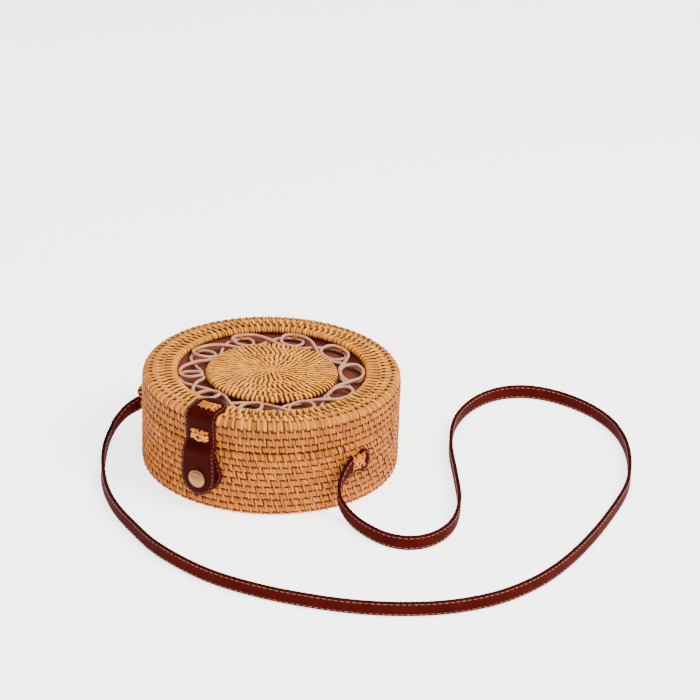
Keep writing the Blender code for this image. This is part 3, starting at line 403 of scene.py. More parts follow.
def add_node(tree, kind, inputs=(), out=0, **settings):
    """Adds a node with its settings and inputs, and returns one of its outputs."""
    new = tree.nodes.new("ShaderNode" + kind)
    for key, value in settings.items():
        setattr(new, key, value)
    fill(tree, new, inputs)
    return new.outputs[out]


def shader(name):
    """A new material, what adds nodes to it and what fills the inputs of its surface."""
    material = bpy.data.materials.new(name)
    material.use_nodes = True
    tree = material.node_tree
    return material, partial(add_node, tree), partial(fill, tree, tree.nodes["Principled BSDF"])


RGBA = {"out": 2, "data_type": "RGBA"}  # a mix of colours: inputs 0, 6 and 7, output 2


def cane_material(name, crest_top, crest_side, groove_shade_top, groove_shade_side, rough, streak):
    """Split cane, shaved flat and left without varnish. It gives the eye fibres along the strand,
    strands and patches of different tone, and painted shade: where the tint's light is low, the
    colour turns to the dark groove shade colours, in the grooves, on the strands' ends and on their
    tucked edges. The tint is (tone, light, warm)."""
    material, add, surface = shader(name)
    tint = add("Attribute", (), "Color", attribute_name="tint")
    tone, light, warm = add("SeparateColor", (tint,)).node.outputs
    uv = add("TexCoord", (), "UV")
    # Patches about 18 mm wide
    patch = add("TexNoise", {"Vector": add("TexCoord", (), "Object"), "Scale": 55.0,
                             "Detail": 3.0, "Roughness": 0.55})
    shade = add("Math", (add("MapRange", (tone, 0.0, 1.0, 0.5, 1.36)),
                         add("MapRange", (patch, 0.3, 0.72, 0.84, 1.15))), operation="MULTIPLY")
    # Fibres 0.2 mm wide and 8 mm long, which is coarser than in real cane, then streaks of 0.7 by
    # 17 mm and bands of 1.5 by 21 mm
    streaks = []
    for across, along, detail, darker, brighter in ((5200.0, 130.0, 3.0, 0.13, 0.1),
                                                    (1500.0, 60.0, 2.0, 0.1, 0.08),
                                                    (680.0, 48.0, 2.0, 0.14, 0.09)):
        place = add("Mapping", {"Vector": uv, "Scale": (across, along, 1.0)})
        streaks.append(add("TexNoise", {"Vector": place, "Scale": 1.0, "Detail": detail,
                                        "Roughness": 0.55}))
        level = add("MapRange", (streaks[-1], 0.3, 0.7, 1 - darker * streak,
                                 1 + brighter * streak))
        shade = add("Math", (shade, level), operation="MULTIPLY")
    fine, broad = streaks[:2]
    # The groove colours are painted shade: the tint's light mixes the lit crest colour towards
    # them, in the grooves and on tucked strand edges.
    crest, groove = (add("Mix", {0: warm, 6: linear(top), 7: linear(side)}, **RGBA)
                     for top, side in ((crest_top, crest_side), (groove_shade_top, groove_shade_side)))
    lit = add("Mix", {0: 1.0, 6: crest, 7: add("CombineColor", (shade,) * 3)},
              blend_type="MULTIPLY", **RGBA)
    colour = add("Mix", {0: add("MapRange", (light, 0.0, 0.62, 0.0, 1.0)), 6: groove, 7: lit},
                 **RGBA)
    height = add("Math", (add("Math", (fine, 0.55), operation="MULTIPLY"),
                          add("Math", (broad, 0.6), operation="MULTIPLY")), operation="ADD")
    surface({"Base Color": colour, "Specular IOR Level": 0.14,
             "Roughness": add("MapRange", (broad, 0.3, 0.7, rough - 0.07, rough + 0.1)),
             "Normal": add("Bump", {"Height": height, "Distance": 0.00022, "Strength": 0.55})})
    return material


def rod_material():
    """Rod of willow or rattan core, peeled and not dyed. It gives the eye a pinkish beige with
    faint streaks 0.3 mm wide and 14 mm long, and greyer patches about 24 mm long."""
    material, add, surface = shader("peeled_rod")
    uv = add("TexCoord", (), "UV")
    fine, patch = (add("TexNoise", {"Vector": add("Mapping", {"Vector": uv, "Scale": scale}),
                                    "Scale": 1.0, "Detail": 3.0, "Roughness": 0.55})
                   for scale in ((3800.0, 70.0, 1.0), (60.0, 42.0, 1.0)))
    base = add("Mix", {0: add("MapRange", (patch, 0.32, 0.68, 0.0, 1.0)), 6: linear("BC8066"),
                       7: linear("CE9A7E")}, **RGBA)
    colour = add("Mix", {0: add("MapRange", (fine, 0.3, 0.72, 0.0, 0.5)), 6: base,
                         7: linear("945E44")}, **RGBA)
    surface({"Base Color": colour, "Roughness": 0.5, "Specular IOR Level": 0.2,
             "Normal": add("Bump", {"Height": fine, "Distance": 0.00015, "Strength": 0.5})})
    return material


def leather_material(name, face, low, edge, rough, gloss):
    """Smooth dyed leather with cut edges. It gives the eye pores 0.5 mm apart, which is coarser
    than in real leather, a grain of 1.1 mm, clouds of 14 mm and edges of another tone, mixed in
    most on
    the rounded edge: on the burgundy tabs a lighter tone, which is a painted highlight, and on the
    strap a darker one. The tint's first part says how much of the edge tone is mixed in."""
    material, add, surface = shader(name)
    tint = add("Attribute", (), "Color", attribute_name="tint")
    edge_share = add("SeparateColor", (tint,))
    place = add("TexCoord", (), "Object")
    cloud, fine = (add("TexNoise", {"Vector": place, "Scale": scale, "Detail": detail,
                                    "Roughness": 0.55})
                   for scale, detail in ((70.0, 4.0), (900.0, 3.0)))
    pore = add("TexVoronoi", {"Vector": place, "Scale": 2100.0}, "Distance")
    colour = add("Mix", {0: add("MapRange", (cloud, 0.3, 0.7, 0.0, 1.0)), 6: linear(low),
                         7: linear(face)}, **RGBA)
    # The edge tone goes in by the tint's first part: on the tabs it is a painted highlight along
    # the rounded edges.
    edge_blend = add("Math", (edge_share, add("MapRange", (cloud, 0.25, 0.7, 0.55, 1.0))),
                 operation="MULTIPLY", use_clamp=True)
    colour = add("Mix", {0: edge_blend, 6: colour, 7: linear(edge)}, **RGBA)
    height = add("Math", (add("Math", (pore, 0.5), operation="MULTIPLY"), fine), operation="ADD")
    surface({"Base Color": colour, "Specular IOR Level": gloss,
             "Roughness": add("MapRange", (fine, 0.3, 0.7, rough - 0.05, rough + 0.08)),
             "Normal": add("Bump", {"Height": height, "Distance": 0.00012, "Strength": 0.45})})
    return material


def thread_material(name, pale, dark):
    """Waxed thread, twisted from plies. It gives the eye plies about 0.4 mm apart along each
    stitch and a tone that changes every 4 mm."""
    material, add, surface = shader(name)
    place = add("Mapping", {"Vector": add("TexCoord", (), "UV"), "Scale": (900.0, 900.0, 1.0)})
    ply = add("TexWave", {"Vector": place, "Scale": 1.6}, "Fac", wave_type="BANDS",
              bands_direction="DIAGONAL")
    patch = add("TexNoise", {"Vector": add("TexCoord", (), "Object"), "Scale": 240.0,
                             "Detail": 2.0, "Roughness": 0.55})
    colour = add("Mix", {0: add("MapRange", (patch, 0.3, 0.7, 0.0, 1.0)), 6: linear(dark),
                         7: linear(pale)}, **RGBA)
    surface({"Base Color": colour, "Roughness": 0.6, "Sheen Weight": 0.2,
             "Normal": add("Bump", {"Height": ply, "Distance": 0.0001, "Strength": 0.4})})
    return material


def metal_material():
    """Champagne plating on pressed brass, brushed to a satin. It gives the eye a soft gleam with
    marks of 0.4 mm and clouds of 6 mm."""
    material, add, surface = shader("champagne_metal")
    place = add("TexCoord", (), "Object")
    fine, cloud = (add("TexNoise", {"Vector": place, "Scale": scale, "Detail": 2.0,
                                    "Roughness": 0.55}) for scale in (2600.0, 160.0))
    colour = add("Mix", {0: add("MapRange", (cloud, 0.3, 0.7, 0.0, 1.0)), 6: linear("805839"),
                         7: linear("8E6543")}, **RGBA)
    surface({"Base Color": colour, "Metallic": 1.0,
             "Roughness": add("MapRange", (fine, 0.3, 0.7, 0.32, 0.38)),
             "Normal": add("Bump", {"Height": fine, "Distance": 0.000005, "Strength": 0.1})})
    return material


def cloth_material(name, pale, dark):
    """Plain woven cotton lining. It gives the eye crossed threads 0.75 mm apart, which is coarser
    than in real cloth, over clouds of 17 mm."""
    material, add, surface = shader(name)
    uv = add("TexCoord", (), "UV")
    weave = add("Math", [add("TexWave", {"Vector": uv, "Scale": 420.0, "Distortion": 0.6}, "Fac",
                             wave_type="BANDS", bands_direction=direction)
                         for direction in ("X", "Y")], operation="MULTIPLY")
    cloud = add("TexNoise", {"Vector": add("TexCoord", (), "Object"), "Scale": 60.0,
                             "Detail": 4.0, "Roughness": 0.55})
    base = add("Mix", {0: add("MapRange", (cloud, 0.3, 0.7, 0.0, 1.0)), 6: linear(dark),
                       7: linear(pale)}, **RGBA)
    colour = add("Mix", {0: add("MapRange", (weave, 0.0, 1.0, 0.0, 0.35)), 6: base,
                         7: linear(pale)}, **RGBA)
    surface({"Base Color": colour, "Roughness": 0.9, "Sheen Weight": 0.05,
             "Specular IOR Level": 0.05,
             "Normal": add("Bump", {"Height": weave, "Distance": 0.0002, "Strength": 0.5})})
    return material


def floor_material():
    """White studio floor that glows a little, so that it looks as pale as the backdrop."""
    material, add, surface = shader("studio_floor")
    cloud = add("TexNoise", {"Vector": add("TexCoord", (), "Object"), "Scale": 1.5,
                             "Detail": 2.0, "Roughness": 0.55})
    colour = add("Mix", {0: cloud, 6: linear("FDFDFD"), 7: linear("FFFFFF")}, **RGBA)
    surface({"Base Color": colour, "Roughness": 0.85, "Specular IOR Level": 0.1,
             "Emission Color": (1.0, 1.0, 1.0, 1.0), "Emission Strength": 2.4})
    return material


# The third and fourth colours of each cane are painted shade, for the grooves and the strands'
# tucked edges and ends, on the top and on the sides.
weave = cane_material("ata_weave", "DA8A2F", "B46520", "2E1507", "2A0F05", 0.6, 1.5)
lashing_cane = cane_material("ata_lashing", "CC7418", "B86414", "220A02", "220A02", 0.5, 1.8)
rod_cane = rod_material()
# The tab's edge colour, lighter than its face, is a painted highlight on its rounded edges; the
# strap's edge colour is darker than its face.
tab_leather = leather_material("burgundy_leather", "350703", "260402", "45100A", 0.46, 0.02)
strap_leather = leather_material("strap_leather", "400B07", "320705", "270604", 0.6, 0.01)
tab_thread = thread_material("tab_thread", "6E3E36", "4C2420")
strap_thread = thread_material("strap_thread", "95604A", "74402E")
metal = metal_material()
cloth = cloth_material("brown_cloth", "683022", "54271A")


# Body wall with its foot

rng = np.random.default_rng(7)
WALL_COUNT = 84
LID_COUNT = 100
WALL_LINES = (45.9, 40.5, 35.3, 29.8, 24.2, 18.9, 13.5, 8.1, 2.9)
ROW_SHIFT = 0.44

wall_profile = Profile(
    [(CREST, 50.5), (CREST, 3.0)] + arc_points(CREST - 3.0, 3.0, 3.0, 0, -90)[1:]
    + [(INNER, 0.0)], -1)
wall = Build()
lines = [wall_profile.at_height(z) for z in WALL_LINES] + [wall_profile.total]
phase = 0.16
for start, end in zip(lines[:-1], lines[1:]):
    woven_row(wall, wall_profile, start, end, 2.0, WALL_COUNT, phase, 0.235, 1.0, rng, 2.2, 0.8,
              0.5, 2, flat_steps=6, flat_tone=(0.3, 0.86), scatter=0.06, vary=0.25)
    phase += ROW_SHIFT
plain_turn(wall, [(CREST - 1.6, 46.2), (INNER, 46.2), (INNER, 0.3)], 1, 1.0)
wall.finish("woven_wall", [weave], "bag", "ata_weave", "body_wall")


# Rim bead with its wraps

bead_profile = Profile(
    [(INNER + 0.6, 49.8), (INNER + 1.2, 50.9)]
    + arc_points(CREST - 2.6, 49.2, 2.6, 105, 0) + [(CREST, 48.6), (CREST, 45.9)], -1)
bead = Build()
core_row(bead, bead_profile, 0.0, bead_profile.total, -0.5, 1.0, rng)
# The narrow strands between the wide wraps lie lower and take a darker tone, partly their own and
# partly painted shade between the wraps.
for phase, width, lift, tone in ((0.0, 3.4, 0.08, (0.35, 0.85)), (0.5, 1.7, -0.1, (0.1, 0.6))):
    strands(bead, bead_profile, 0.0, bead_profile.total, 114, phase, width, rng, 1.0, 2.6,
            height=0.9, lift=lift, tone=tone, taper=0.95, scatter=0.06, steps=13, arch=FLAT_ARCH,
            vary=0.2)
plain_turn(bead, [(CREST - 0.8, 46.3), (INNER, 46.3), (INNER, 49.6), (INNER + 0.9, 50.6)],
           -1, 1.0)
bead.finish("rim_bead", [weave], "bag", "ata_weave", "body_rim")


# Lid ring: wraps round the opening, two rows, the row over the edge and three skirt rows

ring_profile = Profile(
    [(OPENING + 2.2, 71.6), (OPENING + 0.6, 72.3), (OPENING, 73.4), (OPENING, 74.0)]
    + arc_points(OPENING + 2.9, 74.0, 2.9, 180, 90)
    + [(CREST - LID_EDGE, LID_TOP)]
    + arc_points(CREST - LID_EDGE, LID_TOP - LID_EDGE, LID_EDGE, 90, 0)
    + [(CREST, SEAM + 0.7)] + arc_points(CREST - 0.5, SEAM + 0.7, 0.5, 0, -90)
    + [(INNER + 1, SEAM + 0.15)], -1)


def on_top(radius):
    """Distance along the ring's line of a radius on the lid's top."""
    return ring_profile.first(lambda r, z: (r >= radius) & (z > LID_TOP - 0.6))


def on_skirt(height):
    """Distance along the ring's line of a height on the lid's skirt."""
    return ring_profile.first(lambda r, z: (z <= height) & (r > CREST - 1.5))


ring = Build()
inner_line, middle_line, outer_line = on_top(83.6), on_top(86.4), on_top(93.2)
skirt_lines = [on_skirt(z) for z in (70.4, 64.2, 58.1, 52.6)]
core_row(ring, ring_profile, 0.0, inner_line, -1.25, 0.1, rng)
strands(ring, ring_profile, 0.0, on_top(78.8), LID_COUNT, 0.565, 1.75, rng, 0.1, 0.5,
        lift=-0.12, tone=(0.35, 1.0), taper=0.95, scatter=0.04, steps=13)
# Thin strands deep in the gaps between the wraps, in the darkest tone: painted shade in the gaps.
strands(ring, ring_profile, 0.0, middle_line - 0.6, LID_COUNT, 0.86, 1.0, rng, 0.1, 0.9,
        lift=-0.6, tone=(0.0, 0.2), taper=0.95, scatter=0.05, steps=13, ragged=0.3, vary=0.25)
core_row(ring, ring_profile, inner_line, middle_line, -0.9, 0.1, rng)
# Flat strands between the wraps, in a darker tone that is partly painted shade.
strands(ring, ring_profile, inner_line, middle_line - 0.9, LID_COUNT, 0.6, 1.9, rng, 0.05, 0.2,
        FLAT_RISE, lift=-0.14, tone=(0.2, 0.6))
strands(ring, ring_profile, 0.0, middle_line, LID_COUNT, 0.2, 2.2, rng, 0.1, 0.9, lift=0.06,
        tone=(0.5, 1.0), taper=0.9, scatter=0.04, steps=17, vary=0.2)
woven_row(ring, ring_profile, middle_line, outer_line, 3.2, LID_COUNT, 0.74, 0.48, 0.0, rng, 1.2,
          2.4, 0.0, 2, tone=(0.55, 1.0), flat_tone=(0.0, 0.4), scatter=0.05, vary=0.25)
woven_row(ring, ring_profile, outer_line, skirt_lines[0], 3.2, LID_COUNT, 0.28, 0.46, 0.45, rng,
          1.2, 2.1, 0.0, 2, bar_steps=17, flat_steps=13, tone=(0.4, 0.95), flat_tone=(0.0, 0.5),
          scatter=0.05, vary=0.25)
plain_turn(ring, [(CREST - 0.6, 70.9), (INNER, 70.9), (INNER - 3.2, 72.2), (OPENING + 3.0, 72.2),
                  (OPENING + 1.6, 72.0)], 1, 0.6)
ring.finish("woven_lid_ring", [weave], "lid", "ata_weave", "lid_ring")

skirt = Build()
phase = 0.8
for k in range(3):
    start, end = skirt_lines[k], skirt_lines[k + 1]
    woven_row(skirt, ring_profile, start, end, 2.2, LID_COUNT, phase, 0.3, 1.0, rng, 1.2, 1.1,
              0.3, 2, after=0.8 if k == 2 else 0.0, tone=(0.4, 0.85), flat_tone=(0.15, 0.62),
              scatter=0.05, vary=0.2)
    phase += 0.5
plain_turn(skirt, [(CREST - 0.9, SEAM + 0.15), (INNER, SEAM + 0.15), (INNER, 70.8),
                   (CREST - 1.2, 70.8)], 1, 1.0)
skirt.finish("woven_lid_skirt", [weave], "lid", "ata_weave", "lid_skirt")


def woven_disc(name, radius, top, pitch, bar_pitch, body, node, up, warm, rng, crown=0.0,
               edge=1.5, groove=1.7, lean=1.2, bar=0.46, flats=1):
    """A round coiled mat: rows round the middle, with a pitch between bars that stays about the
    same, so that outer rows have more of them."""
    outer = [(radius - edge, top)] + arc_points(radius - edge, top - edge, edge, 90, -90)
    line = [(0.0, top + crown)] + [(r, top + crown * (1 - (r / radius) ** 2))
                                    for r in np.linspace(2, radius - edge - 1, 12)] + outer
    line = np.array(line)
    if not up:
        line[:, 1] = 2 * top - line[:, 1]
    profile = Profile(line, -1 if up else 1)
    build = Build()
    rows = int(round((radius - 0.5) / pitch))
    lines = [(radius - 0.5) * k / rows for k in range(rows)] + [profile.total - 0.2]
    for k, (start, end) in enumerate(zip(lines[:-1], lines[1:])):
        middle = (start + end) / 2
        columns = int(np.clip(2 * math.pi * middle / 1.6, 30, 200))
        count = max(5, int(round(2 * math.pi * middle / bar_pitch)))
        before = min(2.2, start) if k else 0.0
        woven_row(build, profile, max(start, 0.2), end, before, count, rng.uniform(0, 1), bar,
                  warm, rng, lean, min(groove, 0.9 + 0.2 * k), 0.0, flats, columns=columns,
                  tone=(0.5, 1.0), flat_tone=(0.05, 0.6), scatter=0.05, vary=0.2,
                  core_painted_light=0.08)
    under = top - 2 * edge if up else top + 2 * edge
    plain_turn(build, [(radius - edge, under), (1.0, under), (0.0, under)], 1 if up else -1,
               warm, columns=90)
    build.finish(name, [weave], body, "ata_weave", node, weld=True)


woven_disc("woven_disc", DISC_RADIUS, DISC_TOP, 4.3, 4.0, "lid", "lid_centre_disc", True, 0.0,
           rng, crown=0.6, edge=2.3, lean=1.0, bar=0.64, flats=0)
woven_disc("woven_base", INNER - 0.2, 0.35, 5.4, 7.4, "bag", "body_base", False, 0.7, rng,
           groove=1.2)


# Openwork rods and their ties


def tube(build, points, radius, closed=False, sides=10, tint=(0.5, 0.9, 0.3), slot=0,
         up=(0.0, 0.0, 1.0)):
    """A round strand along the points: rings square to them, with their first direction square
    to up as well."""
    along = tangents(points, closed)
    side = unit(np.cross(along, up))
    over = np.cross(side, along)
    angle = np.linspace(0, 2 * math.pi, sides, endpoint=False)
    radius = np.broadcast_to(radius, (len(points),))
    out = (side[:, None, :] * np.cos(angle)[None, :, None]
           + over[:, None, :] * np.sin(angle)[None, :, None])
    grid = points[:, None, :] + out * radius[:, None, None]
    if closed:
        grid, out = np.concatenate([grid, grid[:1]]), np.concatenate([out, out[:1]])
        points = np.concatenate([points, points[:1]])
    length = lengths_along(points) * MM
    u = np.linspace(0, 2 * math.pi * float(np.mean(radius)) * MM, sides + 1)
    uv = np.stack(np.broadcast_arrays(u[None, :], length[:, None]), -1)
    build.grid(grid, uv, tint, out, wrap=True, slot=slot)


# Section of a ribbon: (side from -1 to 1, lift as a share of the thickness)
RIBBON = np.array([(-1.0, -0.35), (-0.82, 0.12), (-0.4, 0.42), (0.0, 0.5), (0.4, 0.42),
                   (0.82, 0.12), (1.0, -0.35), (0.6, -0.5), (-0.6, -0.5)])


def ribbon(build, points, normals, width, thick, tone, warm, rng):
    """A flat strand of split cane with a rounded face: the section RIBBON along the points."""
    normals = unit(normals)
    side = unit(np.cross(tangents(points), normals))
    across, lift = RIBBON.T
    grid = (points[:, None, :] + side[:, None, :] * (across[:, None] * width / 2)
            + normals[:, None, :] * (lift[:, None] * thick))
    out = side[:, None, :] * across[:, None] + normals[:, None, :] * (lift[:, None] * 2)
    start = rng.uniform(0, 1)
    u = start + np.append(across * width / 2, 0.0) * MM
    v = lengths_along(points) * MM + start * 3
    # Painted shade: the tint's light falls towards the strand's edges and its underside, which then
    # take the dark groove colour.
    tint = np.stack(np.broadcast_arrays(tone, np.clip(0.6 + lift * 0.9, 0.1, 1.0), warm), -1)
    build.grid(grid, np.stack(np.broadcast_arrays(u, v[:, None]), -1), tint, out, wrap=True)


LOOPS = 10
LOOP_PHASE = 17.3
ROD_LOW, ROD_HIGH = 69.9, 73.0
ROD_MIDDLE = (ROD_LOW + ROD_HIGH) / 2
ROD_GUIDE = (
    (36.0, 53.6, ROD_LOW), (27.0, 54.6, ROD_LOW), (18.0, 61.5, ROD_LOW), (9.0, 69.2, ROD_LOW),
    (0.0, 71.6, ROD_LOW), (-5.4, 69.4, ROD_LOW), (-7.2, 63.0, ROD_LOW + 0.2),
    (-5.4, 56.4, ROD_LOW + 0.8), (0.0, 53.8, ROD_MIDDLE), (5.4, 56.4, ROD_HIGH - 0.6),
    (7.2, 63.0, ROD_HIGH), (5.4, 69.4, ROD_HIGH), (0.0, 71.6, ROD_HIGH), (-9.0, 69.2, ROD_HIGH),
    (-18.0, 61.5, ROD_HIGH), (-27.0, 54.4, ROD_MIDDLE),
)
LOOP_WIDE = (1.1, 1.1, 0.95, 1.0, 1.05, 1.1, 1.35, 1.6, 1.3, 1.2)


def polar(radius, azimuth_deg, height):
    """A point at a radius, an azimuth in degrees and a height."""
    angle = np.radians(azimuth_deg)
    return np.stack(np.broadcast_arrays(radius * np.sin(angle), -radius * np.cos(angle),
                                        height), -1)


def rod_points(first):
    """A closed rod that makes every second loop, from the guide of one period."""
    guide = []
    for loop in range(LOOPS // 2):
        base = LOOP_PHASE - 36.0 * (2 * loop + first)
        wander = rng.normal(0, 0.3, (len(ROD_GUIDE), 2))
        wide = LOOP_WIDE[2 * loop + first]
        guide += [polar(radius + wander[k, 0],
                        base + azimuth * (wide if 5 <= k <= 11 else 1.0) + wander[k, 1], height)
                  for k, (azimuth, radius, height) in enumerate(ROD_GUIDE)]
    return resample(spline(guide, 12, True), 1.1, True)


for first, name in ((0, "openwork_rod_a"), (1, "openwork_rod_b")):
    rod = Build()
    line = rod_points(first)
    turn = np.arange(len(line))
    thick = 1.28 + 0.06 * np.sin(turn * 0.11 + first) + 0.04 * np.sin(turn * 0.37)
    tube(rod, line, thick, True, 12)
    rod.finish(name.replace("openwork", "peeled"), [rod_cane], "lid", "peeled_rod", name)

ties = Build()
for loop in range(LOOPS):
    azimuth = LOOP_PHASE - 36.0 * loop
    out = polar(1.0, azimuth, 0.0)
    across = polar(1.0, azimuth + 90.0, 0.0)
    for turn in range(3):
        shift = (turn - 1) * 1.0 + rng.normal(0, 0.1)
        angle = np.linspace(0, 2 * math.pi, 22)
        centre = out * 71.3 + np.array([0, 0, ROD_MIDDLE])
        ring_points = (centre + across * (shift + 0.35 * np.cos(angle))[:, None]
                       + out * (1.55 * np.cos(angle))[:, None]
                       + np.array([0, 0, 1.0]) * (3.0 * np.sin(angle))[:, None])
        normal = out * np.cos(angle)[:, None] + np.array([0, 0, 1.0]) * np.sin(angle)[:, None]
        ribbon(ties, ring_points, normal, 0.8, 0.4, rng.uniform(0.7, 1.0), 0.2, rng)
ties.finish("openwork_ties", [lashing_cane], "lid", "ata_lashing",
            *["openwork_tie_%02d" % (k + 1) for k in range(LOOPS)])


# Leather pieces from an outline and its middle line


def leather_shape(build, outline, axis, place, thickness, groove=1.5):
    """A flat leather piece: rings from the outline in to the middle line, edges rounded and a
    shallow groove where the stitches lie. place(a, b, lift) gives the point and its outward
    direction for a point of the outline's plane."""
    reach = np.linalg.norm(axis - outline, axis=1)
    t = thickness
    # Each ring is (inset, lift, share of the edge tone); the share is most on the rounded edge,
    # where on the tabs it is a painted highlight.
    rings = [(1e3, 0.0, 0.0), (1.2, 0.0, 0.0), (0.15, 0.06, 0.3), (0.0, 0.4, 0.5),
             (0.0, t - 0.5, 0.7), (0.14, t - 0.2, 1.0), (0.42, t - 0.05, 0.7), (0.8, t, 0.15),
             (groove - 0.32, t, 0.0), (groove, t - 0.16, 0.0), (groove + 0.32, t, 0.0)]
    stack, tones = [], []
    for inset, lift, tone in rings:
        step = np.minimum(inset / np.maximum(reach, 1e-6), 1.0)[:, None]
        stack.append((outline + (axis - outline) * step, lift))
        tones.append(tone)
    base = np.minimum((groove + 0.32) / np.maximum(reach, 1e-6), 1.0)
    for share in (0.25, 0.5, 0.75, 1.0):
        step = (base + (1 - base) * share)[:, None]
        stack.append((outline + (axis - outline) * step, t))
        tones.append(0.0)
    points, outs, uvs = [], [], []
    for flat, lift in stack:
        point, out = place(flat[:, 0], flat[:, 1], np.full(len(flat), lift))
        points.append(point)
        outs.append(out)
        uvs.append(flat * MM)
    points, outs, uvs = np.array(points), np.array(outs), np.array(uvs)
    uvs = np.concatenate([uvs, uvs[:, :1]], 1)
    tint = np.zeros(points.shape)
    tint[..., 0] = np.array(tones)[:, None]
    tint[..., 1] = 0.9
    build.grid(points[2:], uvs[2:], tint[2:], outs[2:], wrap=True)
    build.grid(points[:3], uvs[:3], tint[:3], -outs[:3], wrap=True)


def stitches(build, line, outs, length, gap, radius, rng):
    """Thread stitches along a line: each a short strand whose ends dive into the leather. Their
    material is the piece's second one."""
    lengths = lengths_along(line)
    count = int(lengths[-1] // (length + gap))
    step = lengths[-1] / count
    size = step * length / (length + gap)
    table = np.concatenate([line, outs], 1)
    share = np.array([0.0, 0.1, 0.3, 0.5, 0.7, 0.9, 1.0])
    dip = np.array([-0.45, 0.1, 0.25, 0.3, 0.25, 0.1, -0.45]) * radius * 2
    for k in range(count):
        start = k * step + step / 2 - size / 2
        points, out = np.split(sampled(start + share * size, lengths, table), 2, -1)
        out = unit(out)
        side = unit(np.cross(tangents(points), out))
        skew = (share - 0.5) * 0.3 * radius * 2
        points = points + out * (dip + 0.12)[:, None] + side * skew[:, None]
        size_at = radius * np.array([0.7, 0.95, 1.0, 1.0, 1.0, 0.95, 0.7])
        tube(build, points, size_at, False, 6, (rng.uniform(0.3, 1), 0.9, 0.5), 1, out[3])


def sag(x):
    """How far the round wall drops back at a distance x from its middle line."""
    return CREST - np.sqrt(np.maximum(CREST ** 2 - x ** 2, 1.0))


class Strip:
    """A leather strip over the front wall: a is the length from its upper end, b is across."""

    def __init__(self, path):
        line = resample(path, 0.2)
        self.length = lengths_along(line)
        self.total = self.length[-1]
        along = tangents(line)
        normal = np.stack([-along[:, 1], along[:, 0]], -1)
        self.table = np.concatenate([line, unit(averaged(normal, np.ones(15) / 15))], 1)

    def place(self, a, b, lift):
        """Points and outward directions: the path's point at a, moved across by b and back by
        the wall's sag there, then out along the normal by the lift."""
        rho, z, nr, nz = np.moveaxis(sampled(a, self.length, self.table), -1, 0)
        drop = sag(b) * np.clip((rho - 84.0) / 12.0, 0.0, 1.0)
        lean = b / CREST * np.abs(nr)
        points = np.stack([b + lean * lift, -(rho + nr * lift - drop), z + nz * lift], -1)
        return points, unit(np.stack([lean, -nr, nz], -1))


def strip_outline(total, first, last, width_at, centre_at):
    """Outline and middle line of a strip with round ends of the radii first and last."""
    theta = np.radians(np.linspace(0, 90, 16))
    straight = np.linspace(first, total - last, int((total - first - last) / 0.9))[1:-1]
    a = np.concatenate([first * (1 - np.cos(theta)), straight,
                        total - last + last * np.sin(theta)])
    b = np.concatenate([first * np.sin(theta), width_at(straight), last * np.cos(theta)])
    axis_a = np.clip(a, first, total - last)
    centre = centre_at(a)
    outline = np.concatenate([np.stack([a, centre + b], -1),
                              np.stack([a, centre - b], -1)[::-1][1:-1]])
    axis = np.stack([axis_a, centre_at(axis_a)], -1)
    axis = np.concatenate([axis, axis[::-1][1:-1]])
    return outline, axis


def stitch_line(outline, axis, inset, place, lift):
    """Points and outward directions of a line at an inset from the outline."""
    reach = np.linalg.norm(axis - outline, axis=1)
    flat = outline + (axis - outline) * (inset / reach)[:, None]
    flat = resample(flat, 0.5, True)
    flat = np.concatenate([flat, flat[:1]])
    return place(flat[:, 0], flat[:, 1], np.full(len(flat), lift))


# Clasp: one leather from the lid's top over its edge and the seam to the stud

EDGE_R = LID_EDGE + LEATHER_GAP
clasp_path = ([(73.3, LID_TOP + LEATHER_GAP), (CREST - LID_EDGE, LID_TOP + LEATHER_GAP)]
              + arc_points(CREST - LID_EDGE, LID_TOP - LID_EDGE, EDGE_R, 90, 0)
              + [(CREST + LEATHER_GAP, z) for z in (68.0, 62.0, 57.0)])
for z in np.linspace(55.5, 46.5, 10):
    clasp_path.append((CREST + LEATHER_GAP
                       + (FLAP_STAND - CREST - LEATHER_GAP) * smooth_step((55.5 - z) / 9.0), z))
clasp_path += [(FLAP_STAND, 40.0), (FLAP_STAND + 0.1, 26.0), (FLAP_STAND - 0.2, 13.0)]
clasp_strip = Strip(clasp_path)


def clasp_width(a):
    """Half width of the clasp's leather at a length from its top end."""
    narrow = smooth_step((a - 14.0) / 13.0)
    spread = smooth_step((a - 44.0) / 26.0)
    return 13.5 - 0.4 * narrow + 1.1 * spread


def clasp_centre(a):
    """How far the leather's middle line lies to the right at a length from its top end."""
    return np.interp(a, (0.0, 46.4, 70.0), (-1.8, 1.3, 1.9))


outline, axis = strip_outline(clasp_strip.total, 13.5, 14.2, clasp_width, clasp_centre)
clasp = Build()
leather_shape(clasp, outline, axis, clasp_strip.place, LEATHER)
line, outs = stitch_line(outline, axis, 1.5, clasp_strip.place, LEATHER - 0.16)
stitches(clasp, line, outs, 2.3, 1.0, 0.2, rng)
clasp_piece = clasp.finish("clasp_leather", [tab_leather, tab_thread], None, "burgundy_leather",
                           "clasp_tab", "clasp_flap")
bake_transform(clasp_piece)

# Tab on the body wall that carries the stud
body_strip = Strip([(CREST + LEATHER_GAP, 51.8), (CREST + LEATHER_GAP, 15.6)])
outline, axis = strip_outline(
    body_strip.total, 12.6, 15.6, lambda a: 12.6 + 3.0 * smooth_step((a - 12.6) / 8.0),
    lambda a: 3.9 + 0.0 * a)
body_tab = Build()
leather_shape(body_tab, outline, axis, body_strip.place, LEATHER)
line, outs = stitch_line(outline, axis, 1.5, body_strip.place, LEATHER - 0.16)
stitches(body_tab, line, outs, 2.3, 1.0, 0.18, rng)
body_tab.finish("body_tab_leather", [tab_leather, tab_thread], "bag", "burgundy_leather",
                "body_tab")


# Press stud


